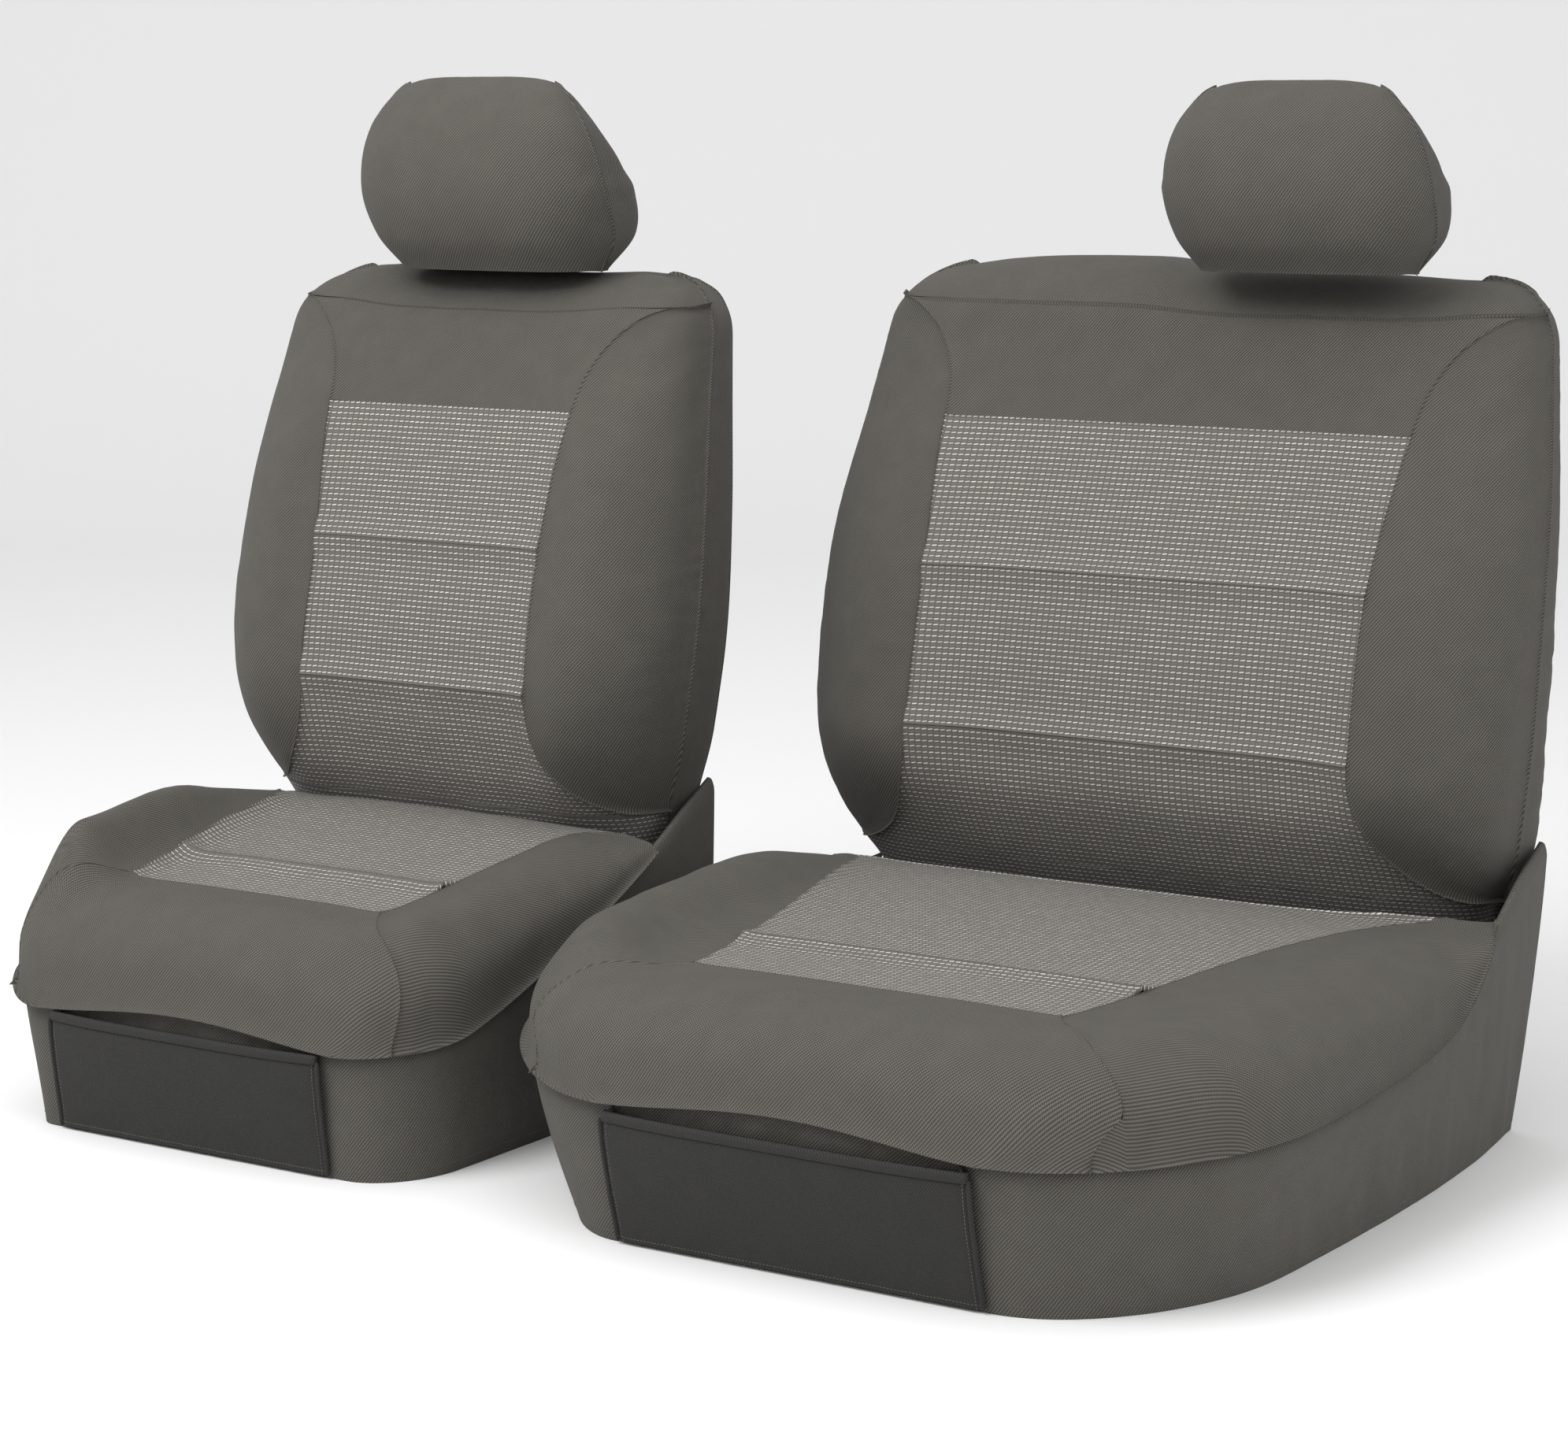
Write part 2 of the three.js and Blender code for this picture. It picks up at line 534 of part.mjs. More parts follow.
function baseCover(key, seat) {
  const add = (part, geometry, material) => addMesh(seat, `${key}_base_${part}`, geometry, material);
  // Top panels.
  const surface = cushionSurface(seat);
  const start = seat.front + seat.waterfall * (1 - Math.PI / 2);
  const insertFront = seat.insertBase[0][0];
  const insert = through(seat.insertBase);
  const half = cushionHalf(seat);
  const seam = rollSeam(seat);
  const innerSeam = (y) => {
    if (y >= insertFront) return insert(y);
    const t = clamp01((insertFront - y) / (insertFront - seat.yokeEnd.y));
    return mix(insert(insertFront), seat.yokeEnd.half, t ** 1.3);
  };
  // The wings begin where the inner seam has parted from the roll seam.
  const parted = (y) => half(y) - innerSeam(y);
  let wingStart = start;
  while (parted(surface(Math.PI / 2, wingStart).y) < WING_TIP) wingStart++;
  const seamAngle = (v) =>
    v < wingStart - SEAM_GAP ? 0 : angleWhere((u) => surface(u, v).x, innerSeam(surface(Math.PI / 2, v).y));
  const middle = { low: seamAngle, high: (v) => Math.PI - seamAngle(v) };
  const top = (part, material, spec) => add(part, panel(surface, 1, spec), material);
  const rows = [
    ...steps(start, wingStart, 3),
    ...steps(wingStart, insertFront, 7).slice(1),
    seat.channel,
    ...steps(seat.channel, seat.crevice, 6).slice(1),
  ];
  const between = (from, to) => rows.filter((v) => v >= from && v <= to);
  top("insert_rear", jacquard, { ...middle, rows: between(seat.channel, seat.crevice), columns: 6 });
  top("insert_front", jacquard, { ...middle, rows: between(insertFront, seat.channel), columns: 6 });
  top("yoke", twill, { ...middle, rows: between(start, insertFront), columns: 16, gapMost: 0.5 });
  const wing = { rows: between(wingStart, seat.crevice), columns: 6 };
  top("wing_right", twill, { ...wing, low: () => 0, high: seamAngle });
  top("wing_left", twill, { ...wing, low: (v) => Math.PI - seamAngle(v), high: () => Math.PI });
  // The tuck flap closes the cushion behind: down into the crevice and back under the
  // backrest, between the sides of the skirt. u is x, and v the way along it in two legs.
  const { shelf } = seat;
  const [foot, end] = [seat.crevice + 16, seat.rear - CLOTH - 1.5];
  const flap = (u, v) => {
    const edge = surface(angleWhere((angle) => surface(angle, seat.crevice).x, u), seat.crevice);
    const down = clamp01(v / 100);
    const y = mix(mix(seat.crevice + 2, foot, down), end, Math.max(0, v / 100 - 1));
    return new THREE.Vector3(u, y, mix(Math.max(shelf, edge.z - 3), shelf, down));
  };
  const inside = (side, y, z) => {
    const inset = seat.tuck[side] * (1 - z / seam(y, side === "right" ? 1 : -1)) ** 1.4;
    return half(y) - inset - CLOTH - HEM_ELASTIC.thick - 2 * CLEAR;
  };
  const beside = (side) => (v) => inside(side, mix(seat.crevice, end, v / 200), shelf - CLOTH) - 4;
  const width = { low: (v) => -beside("left")(v), high: beside("right") };
  add("tuck_flap", panel(flap, 1, { ...width, rows: steps(0, 200, 4), columns: 10 }), twill);
  // Skirt, the elastic inside its hem, and the panel that joins its sides behind.
  const skirt = skirtSurface(seat);
  const round = { low: () => 0, high: () => skirt.total, columns: 64 };
  const seamHeight = seam(seat.front, 0);
  add("skirt", panel(skirt.surface, -1, { ...round, rows: [0, 12, 50, 100] }), twill);
  const hemTop = (HEM_ELASTIC.width / seamHeight) * 100;
  const lining = { rows: [2, hemTop], thick: HEM_ELASTIC.thick, lift: -CLOTH - CLEAR };
  add("hem_elastic", panel(skirt.surface, -1, { ...round, ...lining }), elastic);
  const rearHeight = shelf - CLOTH - 3;
  const rearFace = (u, v) => new THREE.Vector3(u, seat.rear - 1, v);
  const rearEdges = { low: (v) => -inside("left", seat.rear, v), high: (v) => inside("right", seat.rear, v) };
  const rear = { ...rearEdges, rows: steps(0, rearHeight, 3), columns: 2 };
  add("rear_panel", panel(rearFace, -1, rear), twill);
  // Pocket on the front of the skirt: its face stands off the skirt towards the mouth, and
  // a binding is sewn along the mouth.
  const { half: pocketHalf, top: mouth, gape } = seat.pocket;
  const skirtFront = (z, x = 0) =>
    skirt.surface(skirt.total / 2 - x, (z / (seamHeight + frontArch(x))) * 100).y;
  const pocketFace = (u, v) => {
    const open = gape * ease(0, mouth, v) * (1 - (Math.abs(u) / (1.12 * pocketHalf)) ** 4);
    return new THREE.Vector3(u, skirtFront(v, u) - POCKET.thick - CLEAR - 1 - open, v);
  };
  const across = { low: () => -pocketHalf, high: () => pocketHalf, columns: 8 };
  const face = { ...across, rows: steps(POCKET.bottom, mouth, 4), thick: POCKET.thick };
  add("pocket", panel(pocketFace, 1, face), pocketCloth);
  const binding = { ...across, rows: [mouth, mouth + POCKET.binding], thick: POCKET.thick + 1, lift: 0.5 };
  add("pocket_binding", panel(pocketFace, 1, binding), pocketCloth);
  // Straps under the seat, from the front of the hem to the rear panel, each with a buckle.
  for (const [side, x] of [["right", 110], ["left", -110]]) {
    const ends = [skirtFront(UNDER_STRAP) + CLOTH + HEM_ELASTIC.thick + 3, seat.rear - CLOTH - 2];
    add(`strap_${side}`, strap(x, UNDER_STRAP, ...ends), elastic);
    add(`buckle_${side}`, buckle(x, mix(...ends, 0.35), UNDER_STRAP), nylon);
  }
}

for (const [key, seat] of Object.entries(SEATS)) {
  backCover(key, seat);
  headrestCover(key, seat);
  baseCover(key, seat);
}

// The origin is the middle of the set's footprint, on the surface that the hems stand on.
const extent = new THREE.Box3().setFromObject(group);
const centre = extent.getCenter(new THREE.Vector3());
group.position.set(-centre.x, -centre.y, -extent.min.z);

export default group;
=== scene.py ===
"""A set of fitted fabric covers for a bucket seat and a bench, built round its CAD model.

Shapes are worked out in millimetres in each seat's own frame, +X right, -Y the way the seat
faces and +Z up, and are moved to the row's frame, in metres, when a mesh is made.
"""

import math
from functools import partialmethod

import bpy
import numpy as np
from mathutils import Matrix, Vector


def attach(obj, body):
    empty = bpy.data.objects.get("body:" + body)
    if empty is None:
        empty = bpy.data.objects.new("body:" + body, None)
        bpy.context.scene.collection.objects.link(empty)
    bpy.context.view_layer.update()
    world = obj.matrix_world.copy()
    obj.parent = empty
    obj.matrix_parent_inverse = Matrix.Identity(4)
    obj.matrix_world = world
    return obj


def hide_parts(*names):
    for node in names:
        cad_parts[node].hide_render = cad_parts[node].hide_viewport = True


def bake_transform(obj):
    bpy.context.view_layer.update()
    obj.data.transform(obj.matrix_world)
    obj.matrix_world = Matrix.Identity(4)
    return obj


# ------------------------------------------------------------------ driving dimensions, mm
CLOTH = 3.6  # thickness of the face fabric with its foam
CELL = 4.2  # spacing of the mesh
WING_START = 0.5  # where a wing begins, as a share of the way from the front seam to the insert
ARCH = {"rise": 14, "half": 200}  # rise of the front roll seam over the pocket
SHIFT = (-55.1565, -21.4328, -0.5)  # from the plan to the row's frame
BACK = {
    "crown": 62,
    "front_power": 4.2,
    "rear_power": 4.5,
    "gusset": {"ahead": 0.14, "behind": -0.62, "meet": -0.12, "stretch": 80},
    "saddle": {"depth": 12, "half": 156},
    "shoulder_drop": 14,
    "flank": {"out": 8, "rise": (250, 430)},
}
HEADREST = {
    "sunk": 2,
    "height": 195,
    "crown": 22,
    "shoulder_drop": 10,
    "front_power": 3.2,
    "rear_power": 3.4,
    "seam": [[0, 0.02], [80, 0.3], [195, 0.12]],
    "half": [[0, 117], [37, 142], [85, 149], [145, 132], [195, 92]],
    "front": [[0, 100], [32, 68], [85, 52], [145, 64], [195, 98]],
    "rear": [[0, 192], [37, 222], [85, 204], [145, 154], [195, 124]],
    "slot": {"half": 76, "depth": 24},
}
SEATS = {
    "driver": {
        "place": [-356, 0],
        "headrest": {"x": 0, "y": 0, "scale": 1},
        "bottom": 242,
        "top": 852,
        "corner": 72,
        "back_half": [[225, 212], [290, 230], [370, 258], [470, 272],
                      [600, 269], [720, 258], [846, 246]],
        "back_front": [[240, 58], [280, 36], [330, 8], [420, -13],
                       [566, 15], [705, 59], [846, 112]],
        "back_rear": [[225, 176], [420, 190], [600, 208], [750, 226], [846, 238]],
        "insert_back": [[420, 149], [566, 148], [705, 160]],
        "flare": {"low": 290, "half": 250},
        "yoke_top": {"z": 812, "half": 252},
        "leftward": 20,
        "bolster": 34,
        "base_half": [[-391, 262], [-250, 268], [-100, 272], [60, 268], [165, 256]],
        "corner_x": 74,
        "corner_y": 96,
        "front": -391,
        "rear": 165,
        "crevice": 26,
        "shelf": 170,
        "base_top": [[-391, 244], [-267, 240], [-100, 262], [26, 276], [165, 250]],
        "seam": {
            "right": [[-391, 126], [-293, 138], [-140, 190], [20, 256], [100, 292], [165, 316]],
            "left": [[-391, 126], [-345, 148], [-250, 162], [-100, 172],
                     [20, 182], [100, 198], [165, 208]],
        },
        "waterfall": 116,
        "wing": {"right": 24, "left": 110},
        "swell_front": [-378, -292],
        "insert_base": [[-286, 162], [-120, 180], [-30, 190], [5, 206], [26, 236]],
        "channel": -196,
        "yoke_end": {"y": -376, "half": 240},
        "tuck": {"right": 8, "front": 8, "left": 50},
        "pocket": {"half": 170, "top": 116, "gape": 14},
    },
    "bench": {
        "place": [356, 186],
        "headrest": {"x": 122, "y": 40, "scale": 0.932},
        "bottom": 212,
        "top": 860,
        "corner": 78,
        "back_half": [[225, 340], [290, 364], [370, 377], [470, 380],
                      [600, 376], [720, 362], [846, 346]],
        "back_front": [[225, 106], [273, 74], [330, 44], [387, 40],
                       [548, 76], [697, 141], [846, 190]],
        "back_rear": [[225, 236], [420, 244], [600, 260], [750, 286], [846, 306]],
        "insert_back": [[387, 248], [548, 248], [697, 261]],
        "flare": {"low": 246, "half": 362},
        "yoke_top": {"z": 816, "half": 366},
        "leftward": 24,
        "bolster": 34,
        "base_half": [[-612, 366], [-400, 388], [-150, 402], [60, 400], [200, 386]],
        "corner_x": 172,
        "corner_y": 250,
        "front": -612,
        "rear": 200,
        "crevice": 42,
        "shelf": 172,
        "base_top": [[-612, 244], [-437, 230], [-150, 238], [42, 234], [200, 226]],
        "seam": {
            "right": [[-612, 138], [-400, 142], [-250, 150], [-90, 172],
                      [26, 236], [110, 274], [200, 298]],
            "left": [[-612, 138], [-540, 152], [-400, 164], [-150, 172],
                     [30, 184], [120, 198], [200, 206]],
        },
        "waterfall": 160,
        "wing": {"right": 20, "left": 66},
        "swell_front": [-582, -440],
        "insert_base": [[-462, 192], [-240, 232], [-60, 276], [10, 300], [42, 345]],
        "channel": -345,
        "yoke_end": {"y": -560, "half": 300},
        "tuck": {"right": 28, "front": 24, "left": 56},
        "pocket": {"half": 188, "top": 122, "gape": 14},
    },
}

# ------------------------------------------------------------------ small maths
RNG = np.random.default_rng(41)


def mix(a, b, t):
    return a + (b - a) * t


def clamp01(t):
    return np.clip(t, 0.0, 1.0)


def ease(a, b, t):
    s = clamp01((np.asarray(t, float) - a) / (b - a))
    return s * s * (3 - 2 * s)


def drawn_in(t):
    """How far a quarter circle has drawn in from its full radius: 0 at t = 0 and 1 at t = 1."""
    return 1 - np.sqrt(1 - clamp01(t) ** 2)


def squircle(angle, power):
    """Radius of a unit superellipse at an angle: power 2 is a circle, larger is squarer."""
    return (np.abs(np.cos(angle)) ** power + np.abs(np.sin(angle)) ** power) ** (-1 / power)


def through(stations):
    """A smooth curve through stations [position, value], in ascending position."""
    p, q = np.array(stations, float).T
    slope = np.empty_like(q)
    slope[1:-1] = (q[2:] - q[:-2]) / (p[2:] - p[:-2])
    slope[0] = (q[1] - q[0]) / (p[1] - p[0])
    slope[-1] = (q[-1] - q[-2]) / (p[-1] - p[-2])

    def at(x):
        x = np.asarray(x, float)
        i = np.clip(np.searchsorted(p, x) - 1, 0, len(p) - 2)
        h = p[i + 1] - p[i]
        t = (x - p[i]) / h
        s = clamp01(t)
        rise = s * s * (3 - 2 * s)
        inside = mix(q[i], q[i + 1], rise) + h * (
            slope[i] * s * (1 - s) ** 2 - slope[i + 1] * s * s * (1 - s)
        )
        outside = np.where(t < 0, slope[i] * h * t, slope[i + 1] * h * (t - 1))
        return inside + np.where((t < 0) | (t > 1), outside, 0.0)

    return at


def angle_where(x, value):
    """The angle in [0, pi] at which x(angle), which falls as the angle grows, has a value."""
    value = np.asarray(value, float)
    a, b = np.zeros_like(value), np.full_like(value, math.pi)
    for _ in range(34):
        c = (a + b) / 2
        high = x(c) > value
        a, b = np.where(high, c, a), np.where(high, b, c)
    return (a + b) / 2


def lattice(seed):
    return np.random.default_rng(seed).uniform(-1, 1, (64, 64))


def noise(x, y, seed):
    """Smooth noise from -1 to 1, which repeats every 64 units."""
    grid = lattice(seed)
    x, y = np.asarray(x, float), np.asarray(y, float)
    x, y = np.broadcast_arrays(x, y)
    i, j = np.floor(x).astype(int), np.floor(y).astype(int)
    fx, fy = x - i, y - j
    fx, fy = fx * fx * (3 - 2 * fx), fy * fy * (3 - 2 * fy)
    pick = lambda a, b: grid[a % 64, b % 64]
    low = mix(pick(i, j), pick(i + 1, j), fx)
    high = mix(pick(i, j + 1), pick(i + 1, j + 1), fx)
    return mix(low, high, fy)


def bump(x, middle, width):
    return np.exp(-(((x - middle) / width) ** 2))


def xyz(x, y, z):
    return np.stack(np.broadcast_arrays(x, y, z), -1)


def unit(v):
    return v / np.maximum(np.linalg.norm(v, axis=-1, keepdims=True), 1e-9)


# ------------------------------------------------------------------ surfaces
def standing_surface(half, front, rear, top, crown, front_power, rear_power, shape):
    """A rounded shell of level slices. u is the angle round a slice: 0 at the right side,
    pi/2 at the front, pi at the left side, negative behind. v is the height, and over the
    crown it goes on as the length of the quarter turn."""
    shoulder = top - crown

    def surface(u, v):
        turn = np.maximum(0, (v - shoulder) / crown)
        z = np.where(v <= shoulder, v, shoulder + crown * np.sin(turn))
        middle = mix(front(z), rear(z), 0.6)
        ahead = np.sin(u) >= 0
        r = np.where(ahead, squircle(u, front_power), squircle(u, rear_power))
        reach = np.where(ahead, middle - front(z), rear(z) - middle) * np.cos(turn)
        x = half(z) * r * np.cos(u)
        return shape(x, middle - reach * r * np.sin(u), z, half(z), np.sin(u))

    return surface


def crest_of(top, crown):
    return top - crown + crown * math.pi / 2


def back_surface(seat):
    full_half = through(seat["back_half"])
    draw_top = seat["top"] - seat["corner"]
    saddle, crown = BACK["saddle"], BACK["crown"]

    def shape(x, y, z, half, facing):
        across = np.abs(x) / half
        lean = seat["leftward"] * across**3 * ease(130, 280, z)
        x = np.where(x < 0, x - lean, x)
        span = ease(250, 380, z) * (1 - ease(640, 800, z))
        y = y - seat["bolster"] * bump(across, 0.76, 0.2) * span * np.maximum(0, facing)
        dip = np.exp(-(((x - seat["headrest"]["x"]) / saddle["half"]) ** 6))
        crownward = np.maximum(0, (z - seat["top"]) / crown + 1)
        behind = ease(0.25, -0.35, facing) * across**3 * (1 - ease(*BACK["flank"]["rise"], z))
        x = np.where(x > 0, x + BACK["flank"]["out"] * behind, x)
        z = z - saddle["depth"] * dip * ease(seat["top"] - crown - 40, seat["top"], z)
        z = z - BACK["shoulder_drop"] * across**6 * crownward**2
        return xyz(x, y, z)

    return standing_surface(
        lambda z: full_half(z) - seat["corner"] * drawn_in((z - draw_top) / seat["corner"]),
        through(seat["back_front"]),
        through(seat["back_rear"]),
        seat["top"],
        crown,
        BACK["front_power"],
        BACK["rear_power"],
        shape,
    )


def cushion_half(seat):
    half = through(seat["base_half"])
    corner = seat["front"] + seat["corner_y"]
    return lambda y: half(y) - seat["corner_x"] * drawn_in((corner - y) / seat["corner_y"])


def roll_seam(seat):
    """Height of the roll seam. `across` is 1 at the right edge and -1 at the left one."""
    right, left = through(seat["seam"]["right"]), through(seat["seam"]["left"])
    return lambda y, across: mix(left(y), right(y), (across + 1) / 2)


def front_arch(x):
    """Rise of the front roll seam over the pocket."""
    return ARCH["rise"] * np.maximum(0, 1 - (np.asarray(x, float) / ARCH["half"]) ** 2) ** 2


def cushion_surface(seat):
    """The top of the cushion. u is the angle over a cross-section, 0 at the right roll seam
    and pi at the left one. v is y, and over the front edge the length of the roll."""
    half, top, seam = cushion_half(seat), through(seat["base_top"]), roll_seam(seat)
    roll = seat["front"] + seat["waterfall"]

    def surface(u, v):
        turn = np.maximum(0, (roll - v) / seat["waterfall"])
        full = squircle(turn, 2.8)
        y = np.where(v >= roll, v, roll - seat["waterfall"] * full * np.sin(turn))
        r = squircle(u, 4)
        across = r * np.cos(u)
        height = np.where(across > 0, seat["wing"]["right"], seat["wing"]["left"])
        behind = ease(seat["crevice"] - 230, seat["crevice"] + 60, y)
        fade = ease(*seat["swell_front"], y) * (1 - behind)
        swell = height * fade * bump(np.abs(across), 0.84, 0.15)
        x = half(y) * across
        edge = seam(y, across) + front_arch(x) * np.sin(turn) ** 2
        rise = (top(y) - edge + swell * np.sin(u)) * full * np.cos(turn)
        return xyz(x, y, edge + rise * r * np.sin(u))

    return surface


def skirt_surface(seat):
    """The skirt, and its length. u is the length along its outline, from the right rear
    corner round the front to the left rear corner, and v the height as a percentage."""
    half, seam = cushion_half(seat), roll_seam(seat)
    corner = seat["front"] + seat["corner_y"]
    side = np.linspace(seat["rear"], corner, 40, endpoint=False)
    bend = corner - seat["corner_y"] * np.sin(np.linspace(0, math.pi / 2, 40))
    y = np.concatenate([side, bend])
    x = half(y)
    xs, ys = np.concatenate([x, -x[::-1]]), np.concatenate([y, y[::-1]])
    length = np.concatenate([[0], np.cumsum(np.hypot(np.diff(xs), np.diff(ys)))])

    def outline(s):
        s = np.clip(s, 0, length[-1])
        return np.interp(s, length, xs), np.interp(s, length, ys)

    def surface(u, v):
        x, y = outline(u)
        (xa, ya), (xb, yb) = outline(u - 14), outline(u + 14)
        span = np.maximum(np.hypot(xb - xa, yb - ya), 1e-6)
        ax, ay = (xb - xa) / span, (yb - ya) / span
        tuck = seat["tuck"]
        side = np.where(ay < 0, tuck["right"], tuck["left"])
        inset = (ax**2 * tuck["front"] + ay**2 * side) * np.maximum(0, 1 - v / 100) ** 1.4
        height = seam(y, np.sign(x)) + front_arch(x)
        return xyz(x + ay * inset, y - ax * inset, height * v / 100)

    return surface, float(length[-1])


# ------------------------------------------------------------------ panels of cloth
EDGE_STEPS = np.array([0, 0.5, 1.2, 2.2, 3.6, 5.6, 8.4])  # distances from a seam, mm


def edge_of(depth, radius, pull, reach, pucker):
    """How a panel meets a seam: it rolls `depth` under over `radius`, is pulled down by
    `pull` within about `reach`, and puckers by `pucker`, all in mm."""
    return {"depth": depth, "radius": radius, "pull": pull, "reach": reach, "pucker": pucker}


SEAM = edge_of(2.4, 3.4, 1.6, 13, 0.35)
FLAT_SEAM = edge_of(1.2, 2.2, 0.8, 9, 0.25)
CHANNEL = edge_of(2.2, 3.2, 5.0, 15, 0.45)
GATHERED = edge_of(2.6, 3.6, 2.0, 14, 1.1)
HEM = edge_of(0.9, 1.6, 0.0, 6, 0.25)
SIDES = ("low", "high", "start", "end")


def along_rows(distance):
    """Row positions over a length, closer together at both ends."""
    f = min(1.0, distance / (3 * EDGE_STEPS[-1]))
    edge = EDGE_STEPS * f
    inner = distance - 2 * edge[-1]
    middle = np.linspace(edge[-1], distance - edge[-1], max(2, round(inner / CELL) + 1))[1:-1]
    return np.concatenate([edge, middle, distance - edge[::-1]])


class Panel:
    """A panel of cloth on surface(u, v), between side seams u = low(v) and high(v) and end
    seams v = start and end. `unit_mm` is the length of one unit of v."""

    def __init__(self, surface, low, high, start, end, facing=1, edges=None, relief=None,
                 shape=None, thick=CLOTH, lift=0.0, unit_mm=1.0, dense=(), cell=CELL, settle=0.0,
                 lead=0.0, calm=None):
        edges = dict(zip(SIDES, [SEAM] * 4), **(edges or {}))
        rows = start + along_rows((end - start) * unit_mm) / unit_mm
        for a, b, step in dense:
            rows = np.concatenate([rows[(rows < a) | (rows > b)], np.arange(a, b, step)])
        rows = np.unique(np.clip(rows, start, end))
        v = rows[:, None]
        # Equal steps of length along each row, but closer together at the side seams.
        fine = np.linspace(0, 1, 320)[None, :]
        u0 = np.array([low(r) for r in rows], float)[:, None]
        u1 = np.array([high(r) for r in rows], float)[:, None]
        samples = surface(mix(u0, u1, fine), np.broadcast_to(v, (len(rows), 320)))
        steps = np.linalg.norm(np.diff(samples, axis=1), axis=2)
        run = np.concatenate([np.zeros((len(rows), 1)), np.cumsum(steps, axis=1)], axis=1)
        width = np.maximum(run[:, -1:], 1e-3)
        edge = EDGE_STEPS[None, :] * np.minimum(1, width / (3 * EDGE_STEPS[-1]))
        inner = max(2, round((width.max() - 2 * EDGE_STEPS[-1]) / cell) + 1)
        middle = mix(edge[:, -1:], width - edge[:, -1:], np.linspace(0, 1, inner)[None, 1:-1])
        across = np.concatenate([edge, middle, width - edge[:, ::-1]], axis=1)
        share = np.array([np.interp(a, r, fine[0]) for a, r in zip(across, run)])
        u = mix(u0, u1, share)
        vv = np.broadcast_to(v, u.shape)
        base = surface(u, vv)
        # Normals from the neighbourhood of each point, kept inside the panel and, where the
        # surface closes to a line at the crest, from `settle` below it. `lead` and `calm`
        # do the same at the start and towards both sides.
        du, dv = 2e-3 * np.maximum(np.abs(u1 - u0), 1e-3), 0.4 / unit_mm
        near = np.clip(vv, start + lead, end - settle)
        by = u if calm is None else np.clip(u, calm, math.pi - calm)
        ahead = surface(by + du, near) - surface(by - du, near)
        up = surface(by, np.minimum(near + dv, end)) - surface(by, np.maximum(near - dv, start))
        normal = unit(np.cross(ahead, up)) * facing
        upward = np.linalg.norm(np.diff(base, axis=0), axis=2)
        climb = np.concatenate([np.zeros((1, u.shape[1])), np.cumsum(upward, axis=0)], axis=0)
        centre = climb[:, climb.shape[1] // 2]
        self.s = across - width / 2
        self.t = np.broadcast_to(centre[:, None], u.shape)
        gap = {"low": across, "high": width - across, "start": climb, "end": climb[-1] - climb}
        off = np.full(u.shape, float(lift))
        for k, side in enumerate(SIDES):
            e, d = edges[side], gap[side]
            x = clamp01(d / e["radius"])
            rolled = e["depth"] * (1 - np.sqrt(1 - (1 - x) ** 2))
            pulled = e["pull"] * np.exp(-((d / e["reach"]) ** 2))
            along = self.t if k < 2 else self.s
            fold = noise(along / 7.0, d / 30.0, 5 + k) + 0.6 * noise(along / 3.4, d / 20.0, 15 + k)
            # the pucker starts just off the seam, so that neighbours still meet along it
            near = np.exp(-d / (1.2 * e["reach"])) * (1 - np.exp(-d / 2.5))
            off = off - rolled - pulled + e["pucker"] * fold * near
        if shape is not None:
            off = off + shape(base)
        if relief is not None:
            hold = 1 - np.exp(-np.minimum.reduce([gap[side] for side in SIDES]) / 9.0)
            off = off + relief(self.s, self.t, base) * hold
        if settle:
            off = off * ease(0, settle, end - vv)
        self.gap, self.off = gap, off
        self.points = base + normal * off[..., None]
        self.normal = normal
        self.inner = self.points - normal * thick
        self.facing = facing
        self.width, self.length = float(width.max()), float(climb[-1].max())
        a = self.points
        d1, d2 = a[1:, 1:] - a[:-1, :-1], a[1:, :-1] - a[:-1, 1:]
        self.area = float(np.linalg.norm(np.cross(d1, d2), axis=2).sum() / 2)

    def line(self, side, offset):
        """Points and normals along a line at a distance from one edge."""
        if side in ("low", "high"):
            d, p, n = self.gap[side], self.points, self.normal
        else:
            d = self.gap[side].T
            p, n = self.points.transpose(1, 0, 2), self.normal.transpose(1, 0, 2)
        if side in ("high", "end"):
            d, p, n = d[:, ::-1], p[:, ::-1], n[:, ::-1]
        points, normals = [], []
        for row in range(len(d)):
            if d[row, -1] < 2.2 * offset:
                continue
            k = int(np.clip(np.searchsorted(d[row], offset), 1, d.shape[1] - 1))
            t = (offset - d[row, k - 1]) / max(d[row, k] - d[row, k - 1], 1e-6)
            points.append(mix(p[row, k - 1], p[row, k], t))
            normals.append(mix(n[row, k - 1], n[row, k], t))
        return np.array(points), unit(np.array(normals))


def to_row(points, seat):
    return (points + np.array([*seat["place"], 0]) + np.array(SHIFT)) / 1000


def linked(name, data):
    obj = bpy.data.objects.new(name, data)
    bpy.context.scene.collection.objects.link(obj)
    return obj


def make_object(name, points, faces, material, cloth=None):
    mesh = bpy.data.meshes.new(name)
    mesh.from_pydata(points.tolist(), [], faces)
    mesh.validate()
    mesh.shade_smooth()
    mesh.materials.append(material)
    if cloth is not None:
        spot = mesh.attributes.new("cloth", "FLOAT_VECTOR", "POINT")
        spot.data.foreach_set("vector", np.ascontiguousarray(cloth, np.float32).ravel())
    return linked(name, mesh)


